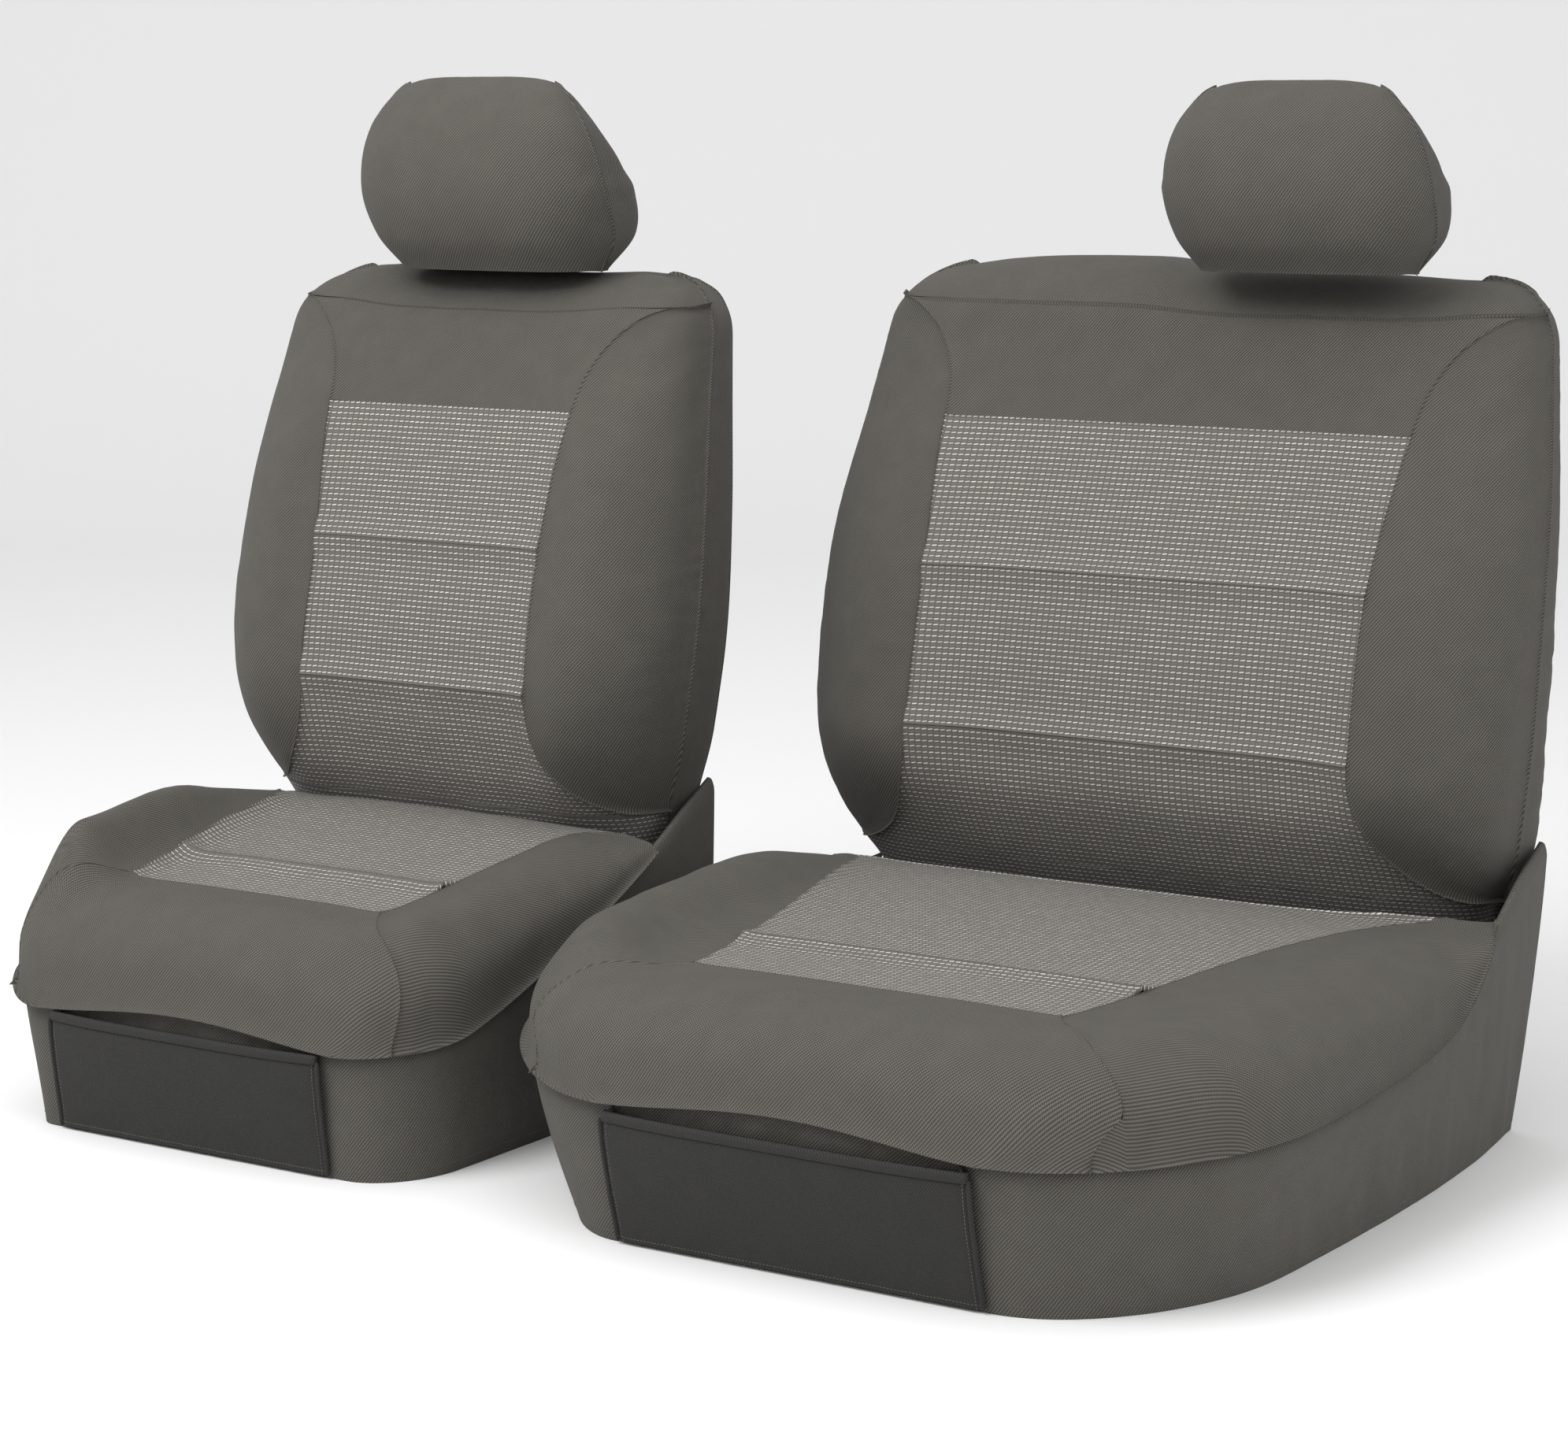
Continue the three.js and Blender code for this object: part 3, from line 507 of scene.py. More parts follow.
def panel_faces(rows, columns, facing):
    """Quads over an outer grid, the same inner grid, and the rim between them."""
    n = rows * columns
    j, i = np.meshgrid(np.arange(rows - 1), np.arange(columns - 1), indexing="ij")
    a = (j * columns + i).ravel()
    outer = np.stack([a, a + 1, a + columns + 1, a + columns], 1)
    inner = outer[:, ::-1] + n
    loop = np.concatenate([
        np.arange(columns - 1),
        np.arange(rows - 1) * columns + columns - 1,
        (rows - 1) * columns + np.arange(columns - 1, 0, -1),
        np.arange(rows - 1, 0, -1) * columns,
    ])
    after = np.roll(loop, -1)
    rim = np.stack([after, loop, loop + n, after + n], 1)
    faces = np.concatenate([outer, inner, rim])
    return (faces if facing > 0 else faces[:, ::-1]).tolist()


def panel_object(seat, name, panel, look):
    """The panel as a closed sheet of cloth."""
    points = np.concatenate([panel.points.reshape(-1, 3), panel.inner.reshape(-1, 3)])
    cloth = np.tile(xyz(panel.s, panel.t, 0.0).reshape(-1, 3), (2, 1))
    faces = panel_faces(*panel.s.shape, panel.facing)
    return make_object(name, to_row(points, seat), faces, LOOKS[look], cloth)


def add_panel(seat, node, body, panel, look, held="stretched", rests_on=()):
    """The panel's object, which rides on a body and stands for a CAD node."""
    obj = panel_object(seat, f"{node}_cloth", panel, look)
    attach(obj, body)
    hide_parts(node)
    panel.seat, panel.node, panel.body, panel.look, panel.object = seat, node, body, look, obj
    panel.sheet = {"held": held, "rests_on": list(rests_on), "with": []}
    return panel


STITCH = {"length": 2.5, "width": 0.75, "pitch": 3.6, "sides": 5}
STITCH_RINGS = ((-0.5, 0.3), (-0.3, 1.0), (0.3, 1.0), (0.5, 0.3))


def run_along(line):
    """The length of a line up to each of its points."""
    return np.concatenate([[0], np.cumsum(np.linalg.norm(np.diff(line, axis=0), axis=1))])


def ring_faces(rings, sides, first=0):
    """Quads round a stack of rings of points, and a cap on each end."""
    faces = []
    for ring in range(rings - 1):
        for k in range(sides):
            a, b = first + ring * sides + k, first + ring * sides + (k + 1) % sides
            faces.append((a, b, b + sides, a + sides))
    faces.append(tuple(first + k for k in reversed(range(sides))))
    faces.append(tuple(first + (rings - 1) * sides + k for k in range(sides)))
    return faces


def sew(panel, lines, thread="dark_thread", pitch=STITCH["pitch"]):
    """Rows of stitches lying on a panel, each a short rounded length of thread."""
    sides = STITCH["sides"]
    points, faces = [], []
    for line, normals in lines:
        if len(line) < 2:
            continue
        run = run_along(line)
        count = int(run[-1] / pitch)
        if count < 2:
            continue
        at = (np.arange(count) + 0.5) * run[-1] / count
        pick = lambda values, where: np.stack([np.interp(where, run, c) for c in values.T], 1)
        middle, normal = pick(line, at), unit(pick(normals, at))
        ahead = unit(pick(line, np.minimum(at + 1, run[-1])) - pick(line, np.maximum(at - 1, 0)))
        beside = np.cross(normal, ahead)
        for p, n, a, b in zip(middle, normal, ahead, beside):
            first = len(points)
            size = 1 + 0.12 * RNG.uniform(-1, 1)
            for reach, scale in STITCH_RINGS:
                for k in range(sides):
                    w = 2 * math.pi * k / sides
                    radius = STITCH["width"] / 2 * scale
                    out = b * math.cos(w) * radius + n * (math.sin(w) * radius * 0.8 + 0.12 * scale)
                    points.append(p + a * reach * STITCH["length"] * size + out)
            faces += ring_faces(len(STITCH_RINGS), sides, first)
    if not points:
        return
    place = to_row(np.array(points), panel.seat)
    obj = make_object(f"{panel.node}_stitches", place, faces, LOOKS[thread])
    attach(obj, panel.body)
    panel.sheet["with"].append(obj)


def tube(seat, name, line, radius, body, look):
    """A round cord of cloth along a line, with rounded ends."""
    sides = 10
    ahead = unit(np.gradient(line, axis=0))
    side = unit(np.cross(ahead, np.broadcast_to([0.13, 0.21, 1.0], line.shape)))
    side = np.where(np.isfinite(side), side, 0)
    other = np.cross(ahead, side)
    scale = np.ones(len(line))
    scale[[0, -1]], scale[[1, -2]] = 0.45, 0.85
    angle = np.linspace(0, 2 * math.pi, sides, endpoint=False)
    across, up = np.cos(angle)[None, :, None], np.sin(angle)[None, :, None]
    ring = side[:, None] * across + other[:, None] * up
    points = (line[:, None] + ring * (radius * scale)[:, None, None]).reshape(-1, 3)
    cloth = xyz(run_along(line)[:, None], angle[None] * radius, 0.0).reshape(-1, 3)
    faces = ring_faces(len(line), sides)
    obj = make_object(name, to_row(points, seat), faces, LOOKS[look], cloth)
    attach(obj, body)


# ------------------------------------------------------------------ materials
class Graph:
    """A material's nodes, written as sums on sockets."""

    def __init__(self, name, roughness=0.9, sheen=0.0, specular=0.25):
        self.material = bpy.data.materials.new(name)
        self.material.use_nodes = True
        self.tree = self.material.node_tree
        self.shader = self.tree.nodes["Principled BSDF"]
        self.shader.inputs["Roughness"].default_value = roughness
        self.shader.inputs["Specular IOR Level"].default_value = specular
        self.shader.inputs["Sheen Weight"].default_value = sheen
        self.shader.inputs["Sheen Roughness"].default_value = 0.6

    def node(self, kind, inputs=(), **settings):
        node = self.tree.nodes.new(kind)
        for key, value in settings.items():
            setattr(node, key, value)
        for key, value in dict(inputs).items():
            self.put(node.inputs[key], value)
        return node

    def put(self, socket, value):
        if isinstance(value, bpy.types.NodeSocket):
            self.tree.links.new(value, socket)
        else:
            socket.default_value = value

    def math(self, operation, a, b=0.0, c=0.0):
        return self.node("ShaderNodeMath", {0: a, 1: b, 2: c}, operation=operation).outputs[0]

    mad = partialmethod(math, "MULTIPLY_ADD")
    mul = partialmethod(math, "MULTIPLY")
    add = partialmethod(math, "ADD")
    sub = partialmethod(math, "SUBTRACT")

    def cloth(self):
        """Places on the cloth, in mm: across the panel and along it."""
        spot = self.node("ShaderNodeAttribute", attribute_name="cloth").outputs["Vector"]
        apart = self.node("ShaderNodeSeparateXYZ", {0: spot})
        return apart.outputs[0], apart.outputs[1], spot

    def wave(self, x, pitch):
        return self.math("SINE", self.math("MULTIPLY", x, 2 * math.pi / pitch))

    def step(self, x, low, high):
        """0 below low and 1 above high, smooth between; falls instead when low > high."""
        falls = low > high
        ends = {1: high, 2: low, 3: 1.0, 4: 0.0} if falls else {1: low, 2: high}
        node = self.node(
            "ShaderNodeMapRange", {0: x, **ends}, interpolation_type="SMOOTHSTEP", clamp=True
        )
        return node.outputs[0]

    def noise(self, vector, scale, detail=2.0):
        node = self.node("ShaderNodeTexNoise", {"Vector": vector, "Scale": scale, "Detail": detail})
        return node.outputs["Fac"]

    def blend(self, amount, a, b):
        node = self.node("ShaderNodeMix", data_type="RGBA")
        self.put(node.inputs[0], amount)
        for index, value in ((6, a), (7, b)):
            self.put(node.inputs[index], (*value, 1) if isinstance(value, tuple) else value)
        return node.outputs[2]

    def finish(self, color, height, strength, distance):
        self.put(self.shader.inputs["Base Color"], color)
        bump_node = self.node(
            "ShaderNodeBump", {"Height": height, "Strength": strength, "Distance": distance}
        )
        self.put(self.shader.inputs["Normal"], bump_node.outputs[0])
        return self.material


def weave_material(name, dark, light, pitch, twill=0.62):
    """A close weave with diagonal ribs, and a little unevenness in the dye and the yarn."""
    g = Graph(name, roughness=0.92, sheen=0.03)
    x, y, spot = g.cloth()
    rib = g.wave(g.add(x, g.mul(y, 0.8)), pitch * 1.35)
    cut = g.wave(g.sub(g.mul(x, 0.9), y), pitch)
    weave = g.mad(rib, twill, g.mul(cut, 1 - twill))
    yarn = g.noise(spot, 1.6, 3.0)
    dye = g.noise(spot, 0.03, 2.0)
    level = g.mad(weave, 0.42, 0.5)
    level = g.add(level, g.mad(yarn, 0.9, -0.45))
    level = g.add(level, g.mad(dye, 0.14, -0.07))
    color = g.blend(g.step(level, 0.0, 1.0), dark, light)
    return g.finish(color, weave, 0.7, 0.0004)


def jacquard_material(name, ground, gap, dash_color):
    """Rows of short pale floats over a fine waffle ground."""
    row_pitch, dash_pitch = 5.9, 6.8
    g = Graph(name, roughness=0.85, sheen=0.03)
    x, y, spot = g.cloth()
    across, along = g.math("DIVIDE", x, dash_pitch), g.math("DIVIDE", y, row_pitch)
    fx = g.sub(g.math("FRACT", across), 0.5)
    slant = g.mad(fx, 0.16, g.math("FRACT", along))
    fy = g.sub(slant, 0.5)
    ax, ay = g.math("ABSOLUTE", fx), g.math("ABSOLUTE", fy)
    dash = g.mul(g.step(ax, 0.40, 0.30), g.step(ay, 0.115, 0.055))
    cell = g.node("ShaderNodeCombineXYZ", {0: g.math("FLOOR", across), 1: g.math("FLOOR", along)})
    chance = g.node("ShaderNodeTexWhiteNoise", {"Vector": cell.outputs[0]}).outputs["Value"]
    waffle = g.mul(g.wave(x, dash_pitch / 4), g.wave(y, row_pitch / 3))
    groove = g.step(ax, 0.40, 0.49)
    shade = g.mul(g.step(ay, 0.16, 0.24), g.step(ay, 0.36, 0.26))
    level = g.mad(waffle, 0.3, 0.62)
    level = g.sub(level, g.mul(groove, 0.16))
    level = g.sub(level, g.mul(shade, 0.24))
    level = g.add(level, g.mad(g.noise(spot, 1.3, 3.0), 0.3, -0.15))
    color = g.blend(g.step(level, 0.0, 1.0), gap, ground)
    pale = g.mul(dash, g.mad(chance, 0.45, 0.55))
    color = g.blend(pale, color, dash_color)
    height = g.mad(waffle, 0.25, g.mul(dash, 0.8))
    height = g.sub(height, g.mul(groove, 0.35))
    return g.finish(color, height, 0.6, 0.0004)


def ribbed_material(name, dark, light, pitch):
    """Webbing or knitted cloth, with ribs along its length."""
    g = Graph(name, roughness=0.85, sheen=0.1)
    x, y, spot = g.cloth()
    ribs = g.mad(g.wave(y, pitch * 0.7), 0.35, g.wave(x, pitch))
    level = g.add(g.mad(ribs, 0.25, 0.35), g.noise(spot, 0.6))
    color = g.blend(g.step(level, 0.2, 1.4), dark, light)
    return g.finish(color, ribs, 0.5, 0.0002)


def thread_material(name, dark, light):
    g = Graph(name, roughness=0.6, sheen=0.3)
    spot = g.node("ShaderNodeTexCoord").outputs["Object"]
    fibre = g.noise(spot, 1800.0, 2.0)
    return g.finish(g.blend(fibre, dark, light), fibre, 0.3, 0.0001)


def nylon_material(name):
    g = Graph(name, roughness=0.42, specular=0.5)
    spot = g.node("ShaderNodeTexCoord").outputs["Object"]
    grain = g.noise(spot, 900.0, 4.0)
    scuff = g.noise(spot, 60.0, 3.0)
    g.put(g.shader.inputs["Roughness"], g.mad(scuff, 0.3, 0.3))
    return g.finish(g.blend(grain, (0.012, 0.012, 0.013), (0.03, 0.03, 0.03)), grain, 0.2, 0.0001)


# ------------------------------------------------------------------ the covers
def smooth_relief(seed, amount):
    """Slack in the cloth: broad soft waves."""
    return lambda s, t, p: amount * noise(p[..., 0] / 70, p[..., 2] / 90 + p[..., 1] / 50, seed)


def back_cover(key, seat):
    surface = back_surface(seat)
    crest = crest_of(seat["top"], BACK["crown"])
    insert = through(seat["insert_back"])
    lower, middle, upper = [z for z, _ in seat["insert_back"]]
    flare, yoke_top = seat["flare"], seat["yoke_top"]
    gusset = BACK["gusset"]
    body = f"{key}_back"

    def inner_seam(z):
        if z >= upper:
            t = (z - upper) / (yoke_top["z"] - upper)
            return mix(insert(upper), yoke_top["half"], drawn_in(t))
        t = (lower - z) / (lower - flare["low"])
        return mix(insert(max(z, lower)), flare["half"], drawn_in(t))

    def angle_at(x, v):
        return float(angle_where(lambda u: surface(u, np.asarray(v, float))[..., 0], x))

    closing = lambda v: float(ease(crest - gusset["stretch"], crest, v))
    ahead = lambda v: mix(gusset["ahead"], gusset["meet"] + 0.02, closing(v))
    behind = lambda v: mix(gusset["behind"], gusset["meet"] - 0.02, closing(v))
    over = lambda v: v >= yoke_top["z"] or v <= flare["low"]
    right = lambda v: ahead(v) if over(v) else max(ahead(v), angle_at(inner_seam(v), v))
    left = lambda v: math.pi - ahead(v) if over(v) else min(
        math.pi - ahead(v), angle_at(-inner_seam(v), v))
    ends = [(yoke_top["z"] - 9, yoke_top["z"] + 1, 0.8), (flare["low"] - 1, flare["low"] + 9, 0.8)]

    def slack(s, t, p):
        """Broad waves, and looser cloth towards the foot of the cover."""
        loose = 0.5 + 1.1 * (1 - ease(300, 560, p[..., 2]))
        return loose * noise(p[..., 0] / 58, p[..., 2] / 95, 3) + 0.35 * noise(s / 22, t / 40, 4)

    def side_slack(s, t, p):
        """The side seam draws its cloth into short folds over its lower half."""
        z = p[..., 2]
        lower_half = 1 - ease(470, 640, z)
        folds = noise(z / 15, s / 45, 8) + 0.7 * noise(z / 8, s / 30, 9)
        sag = noise(z / 70, s / 60, 10)
        return (0.2 + 0.8 * lower_half) * folds + 0.7 * sag * (0.4 + lower_half)

    def add(part, low, high, start, end, look, relief, edges, dense=ends):
        settle = 14.0 if end > crest - 10 else 0.0
        panel = Panel(surface, low, high, start, end, edges=edges, relief=relief, dense=dense,
                      settle=settle)
        return add_panel(seat, f"{key}_back_{part}", body, panel, look)

    inserts = {
        "insert_lower": (seat["bottom"], lower, {"start": HEM, "end": CHANNEL}),
        "insert_middle": (lower, middle, {"start": CHANNEL, "end": CHANNEL}),
        "insert_upper": (middle, upper, {"start": CHANNEL, "end": FLAT_SEAM}),
    }
    for part, (start, end, edges) in inserts.items():
        edges = {"low": FLAT_SEAM, "high": FLAT_SEAM, **edges}
        panel = add(part, right, left, start, end, "jacquard", slack, edges)
        rows = [panel.line("low", 4.2), panel.line("high", 4.2)]
        rows += [panel.line(side, 4.6) for side in ("start", "end") if edges.get(side) is CHANNEL]
        sew(panel, rows, "pale_thread")
    panel = add("yoke", right, left, upper, crest, "twill", slack,
                {"start": FLAT_SEAM, "end": FLAT_SEAM})
    sew(panel, [panel.line("start", 3.6)])
    for side, low, high in (
        ("right", ahead, right),
        ("left", left, lambda v: math.pi - ahead(v)),
    ):
        outer, inner = ("low", "high") if side == "right" else ("high", "low")
        edges = {inner: SEAM, outer: GATHERED, "start": FLAT_SEAM, "end": FLAT_SEAM}
        relief = lambda s, t, p, w=side: slack(s, t, p) + side_slack(s, t, p) * 0.55 * (
            ease(0.82, 1.0, np.abs(p[..., 0]) / np.abs(p[..., 0]).max()))
        panel = add(f"bolster_{side}", low, high, flare["low"], yoke_top["z"], "twill", relief,
                    edges)
        sew(panel, [panel.line(inner, 4.4)], pitch=3.2)
    mirrored = lambda f: lambda v: math.pi - f(v)
    for side, low, high in (("right", behind, ahead), ("left", mirrored(ahead), mirrored(behind))):
        front, rear = ("high", "low") if side == "right" else ("low", "high")
        edges = {front: GATHERED, rear: SEAM, "start": HEM, "end": SEAM}
        panel = add(f"gusset_{side}", low, high, seat["bottom"], crest - 2, "twill", side_slack,
                    edges, ())
        sew(panel, [panel.line(rear, 4.0)])
    panel = add("rear_panel", lambda v: -math.pi - behind(v), behind, seat["bottom"], crest,
                "twill", slack, {"start": HEM, "end": FLAT_SEAM}, ())
    sew(panel, [panel.line("start", 9.0)])
    # Straps under the cover, from the lower edge of the insert to that of the rear panel.
    z = seat["bottom"] + 6
    for side, x in (("right", 96), ("left", -96)):
        near, far = [
            float(surface(sign * angle_at_side(surface, sign, x, z), np.asarray(z, float))[..., 1])
            for sign in (1, -1)
        ]
        strap(seat, f"{key}_back_strap_{side}", body, x, z, near + 9, far - 6.5)


def angle_at_side(surface, sign, x, z):
    return float(angle_where(lambda u: surface(sign * u, np.asarray(z, float))[..., 0], x))


def strap(seat, node, body, x, z, start, end):
    """A strap of elastic webbing along Y, which sags a little and curls at its edges."""
    half, span = 12.5, end - start

    def surface(u, v):
        sag = -1.2 * np.sin(math.pi * clamp01((v - start) / span))
        curl = 0.5 * (np.abs(u) / half) ** 4
        return xyz(x + u, v, z + 1.25 + sag + curl)

    edges = dict.fromkeys(SIDES, edge_of(0.7, 1.2, 0, 5, 0.05))
    panel = Panel(surface, lambda v: -half, lambda v: half, start, end, edges=edges, thick=2.2)
    add_panel(seat, node, body, panel, "elastic")


def headrest_cover(key, seat):
    spot = seat["headrest"]
    bottom = seat["top"] - HEADREST["sunk"]
    body = f"{key}_headrest"

    def sized(stations, offset):
        scale = spot["scale"]
        return through([[bottom + z * scale, v * scale + offset] for z, v in stations])

    half, front, rear = [
        sized(HEADREST[name], offset)
        for name, offset in (("half", 0), ("front", spot["y"]), ("rear", spot["y"]))
    ]
    top = bottom + HEADREST["height"] * spot["scale"]

    def rounded(x, y, z, h, facing):
        crownward = np.maximum(0, (z - top) / HEADREST["crown"] + 1)
        z = z - HEADREST["shoulder_drop"] * (np.abs(x) / h) ** 5 * crownward**2
        return xyz(x + spot["x"], y, z)

    surface = standing_surface(
        half, front, rear, top, HEADREST["crown"], HEADREST["front_power"], HEADREST["rear_power"],
        rounded,
    )
    crest = crest_of(top, HEADREST["crown"])
    at = through([[bottom + z * spot["scale"], a] for z, a in HEADREST["seam"]])
    seam = lambda v: float(at(v))

    def slack(s, t, p):
        up = (p[..., 2] - bottom) / (top - bottom)
        # a tuck in the side panel, half way up the seam
        tuck = 3.0 * bump(up, 0.44, 0.05) - 2.0 * bump(up, 0.52, 0.05)
        by_seam = np.exp(-(((np.abs(p[..., 0] - spot["x"]) / half(p[..., 2]) - 0.97) / 0.05) ** 2))
        behind = p[..., 1] > front(p[..., 2]) + 40
        return 0.8 * noise(s / 42, t / 55, 21) - 0.5 * tuck * by_seam * behind

    for part, low, high, seed in (
        ("front_panel", seam, lambda v: math.pi - seam(v), 1),
        ("rear_panel", lambda v: -math.pi - seam(v), seam, 2),
    ):
        edges = {"low": SEAM, "high": SEAM, "start": HEM, "end": SEAM}
        panel = Panel(surface, low, high, bottom, crest, edges=edges, relief=slack, settle=7.0)
        add_panel(seat, f"{key}_headrest_{part}", body, panel, "twill",
                  rests_on=[f"{key}_back_yoke_cloth"])
        rows = [panel.line("low", 4.2), panel.line("high", 4.2)] if part == "rear_panel" else []
        rows.append(panel.line("start", 8.0))
        sew(panel, rows)
    # The floor of the cover, with the opening for the posts.
    level = bottom + 5.0
    middle = mix(float(front(bottom)), float(rear(bottom)), 0.5)

    def floor(u, v):
        rim = surface(u, np.full_like(np.asarray(u, float), level))
        heart = np.array([spot["x"], middle, level])
        rim = rim + (heart - rim) * (10.5 / np.linalg.norm(heart - rim, axis=-1))[..., None]
        r = squircle(u, 6)
        x = spot["x"] + HEADREST["slot"]["half"] * spot["scale"] * r * np.cos(u)
        y = middle - HEADREST["slot"]["depth"] / 2 * spot["scale"] * r * np.sin(u)
        slot = xyz(x, y, level)
        t = np.asarray(v)[..., None]
        return mix(rim, slot, t)

    edges = dict.fromkeys(SIDES, edge_of(0.5, 1.2, 0, 5, 0.1))
    panel = Panel(floor, lambda v: 0.0, lambda v: 2 * math.pi, 0, 1, facing=-1, edges=edges,
                  thick=2.5, lift=-1.0, unit_mm=50)
    add_panel(seat, f"{key}_headrest_floor_panel", body, panel, "lining")


def base_cover(key, seat):
    body = "seat_bases"
    surface = cushion_surface(seat)
    start = seat["front"] + seat["waterfall"] * (1 - math.pi / 2)
    insert_front, crevice, channel = seat["insert_base"][0][0], seat["crevice"], seat["channel"]
    insert, half, seam = through(seat["insert_base"]), cushion_half(seat), roll_seam(seat)
    wing_start = start + WING_START * (insert_front - start)

    def inner_seam(y):
        if y >= insert_front:
            return float(insert(y))
        t = clamp01((insert_front - y) / (insert_front - seat["yoke_end"]["y"]))
        return mix(float(insert(insert_front)), seat["yoke_end"]["half"], t**1.3)

    def seam_angle(v):
        """Angle of the seam beside the insert, which rounds off into the roll seam in front."""
        y = float(surface(np.array(math.pi / 2), np.asarray(v, float))[..., 1])
        x = min(inner_seam(y), 0.975 * float(half(y)))
        angle = float(angle_where(lambda u: surface(u, np.asarray(v, float))[..., 0], x))
        t = clamp01((v - wing_start) / 45)
        return angle * math.sqrt(1 - (1 - t) ** 2)

    def slack(s, t, p):
        """Cloth over foam: soft waves, and broad folds at the front corners of the wings."""
        x, y = p[..., 0], p[..., 1]
        broad = 0.9 * noise(x / 75, y / 70, 31) + 0.35 * noise(x / 26, y / 30, 32)
        side = np.abs(x) / half(y)
        folds = noise((x * 0.8 + y) / 46, (x - y) / 150, 33)
        return broad + 1.2 * folds * ease(0.5, 0.85, side) * (1 - ease(-140, 0, y))

    def roll_over(p):
        """The cloth bulges over the roll seam and turns in under itself to reach it."""
        x, y, z = p[..., 0], p[..., 1], p[..., 2]
        across = np.clip(x / half(y), -1, 1)
        front = 1 - ease(seat["front"] + 2, seat["front"] + 40, y)
        drop = z - seam(y, across) - front_arch(x) * front
        under = 1 - np.sqrt(1 - (1 - clamp01(drop / 10)) ** 2)
        return 2.0 * bump(drop, 24, 18) - 5.0 * under

    middle = (seam_angle, lambda v: math.pi - seam_angle(v))
    dense = [(wing_start - 1, wing_start + 8, 1.0)]
    parts = [
        ("insert_rear", *middle, channel, crevice, "jacquard", CHANNEL, HEM),
        ("insert_front", *middle, insert_front, channel, "jacquard", FLAT_SEAM, CHANNEL),
        ("yoke", *middle, start, insert_front, "twill", FLAT_SEAM, FLAT_SEAM),
        ("wing_right", lambda v: 0.0, seam_angle, wing_start, crevice, "twill", FLAT_SEAM, HEM),
        ("wing_left", lambda v: math.pi - seam_angle(v), lambda v: math.pi, wing_start, crevice,
         "twill", FLAT_SEAM, HEM),
    ]
    for part, low, high, first, last, look, *seams in parts:
        edges = dict(zip(SIDES, (FLAT_SEAM, FLAT_SEAM, *seams)))
        panel = Panel(surface, low, high, first, last, edges=edges, relief=slack, dense=dense,
                      shape=roll_over, lead=10.0 if part == "yoke" else 0.0, calm=0.3)
        add_panel(seat, f"{key}_base_{part}", body, panel, look)
        if part.startswith("insert"):
            rows = [panel.line("low", 4.2), panel.line("high", 4.2)]
            rows += [panel.line(side, 4.6) for side in ("start", "end") if edges[side] is CHANNEL]
            sew(panel, rows, "pale_thread")
        elif part == "yoke":
            rows = [panel.line("end", 3.6), panel.line("low", 4.4), panel.line("high", 4.4)]
            sew(panel, rows, pitch=3.2)
    # The flap that closes the cushion behind, down into the crevice and back.
    shelf = seat["shelf"]
    foot, end = crevice + 16, seat["rear"] - 6.5

    def inside(side, y, z):
        top = seam(y, 1 if side == "right" else -1)
        return half(y) - seat["tuck"][side] * np.maximum(0, 1 - z / top) ** 1.4 - 8.6

    def flap(u, v):
        angle = angle_where(lambda a: surface(a, np.full_like(a, crevice, float))[..., 0], u)
        edge = surface(angle, np.full_like(np.asarray(u, float), crevice))
        down = clamp01(np.asarray(v, float) / 100)
        y = mix(mix(crevice + 2, foot, down), end, np.maximum(0, v / 100 - 1))
        z = mix(np.maximum(shelf, edge[..., 2] - 3), shelf, down)
        return xyz(u, y, z)

    def beside(side):
        return lambda v: float(inside(side, mix(crevice, end, v / 200), shelf - 5)) - 4

    flat_edges = dict.fromkeys(SIDES, HEM)
    panel = Panel(flap, lambda v: -beside("left")(v), beside("right"), 0, 200, edges=flat_edges,
                  relief=smooth_relief(41, 0.8), thick=2.4, lift=-0.6)
    add_panel(seat, f"{key}_base_tuck_flap", body, panel, "lining")

    # Skirt, the elastic inside its hem, and the panel that joins its sides behind.
    skirt, total = skirt_surface(seat)
    seam_height = float(seam(seat["front"], 0))
    pocket = seat["pocket"]

    def drape(s, t, p):
        """Soft vertical folds that grow towards the hem, and gathers over the pocket."""
        x, y, z = p[..., 0], p[..., 1], p[..., 2]
        free = 1 - ease(0.25, 0.95, z / seam(y, np.sign(x)))
        side = ease(seat["front"] + 20, seat["front"] + 160, y)
        wave = noise(s / 46, z / 160, 51) + 0.5 * noise(s / 19, z / 90, 52)
        gathers = noise(s / 9, z / 70, 53) * bump(z, pocket["top"] + 12, 22) * (1 - side)
        return wave * free * (0.5 + 1.9 * side) + 2.0 * gathers - 0.6 * (1 - side)

    edges = {"low": HEM, "high": HEM, "start": HEM, "end": {**SEAM, "pull": 3.0, "reach": 7}}
    panel = Panel(skirt, lambda v: 0.0, lambda v: total, 0, 100, facing=-1, edges=edges,
                  relief=drape, unit_mm=seam_height / 100)
    add_panel(seat, f"{key}_base_skirt", body, panel, "twill", "hung")
    sew(panel, [panel.line("start", 11.0)])
    panel = Panel(skirt, lambda v: 0.0, lambda v: total, 2, 12 / seam_height * 100, facing=-1,
                  edges=dict.fromkeys(SIDES, {**HEM, "depth": 0.3, "pucker": 0.1}), thick=1.8,
                  lift=-CLOTH - 2.2, unit_mm=seam_height / 100)
    add_panel(seat, f"{key}_base_hem_elastic", body, panel, "elastic")
    rear_height = shelf - 5 - 3

    def rear_face(u, v):
        return xyz(u, seat["rear"] - 1, v)

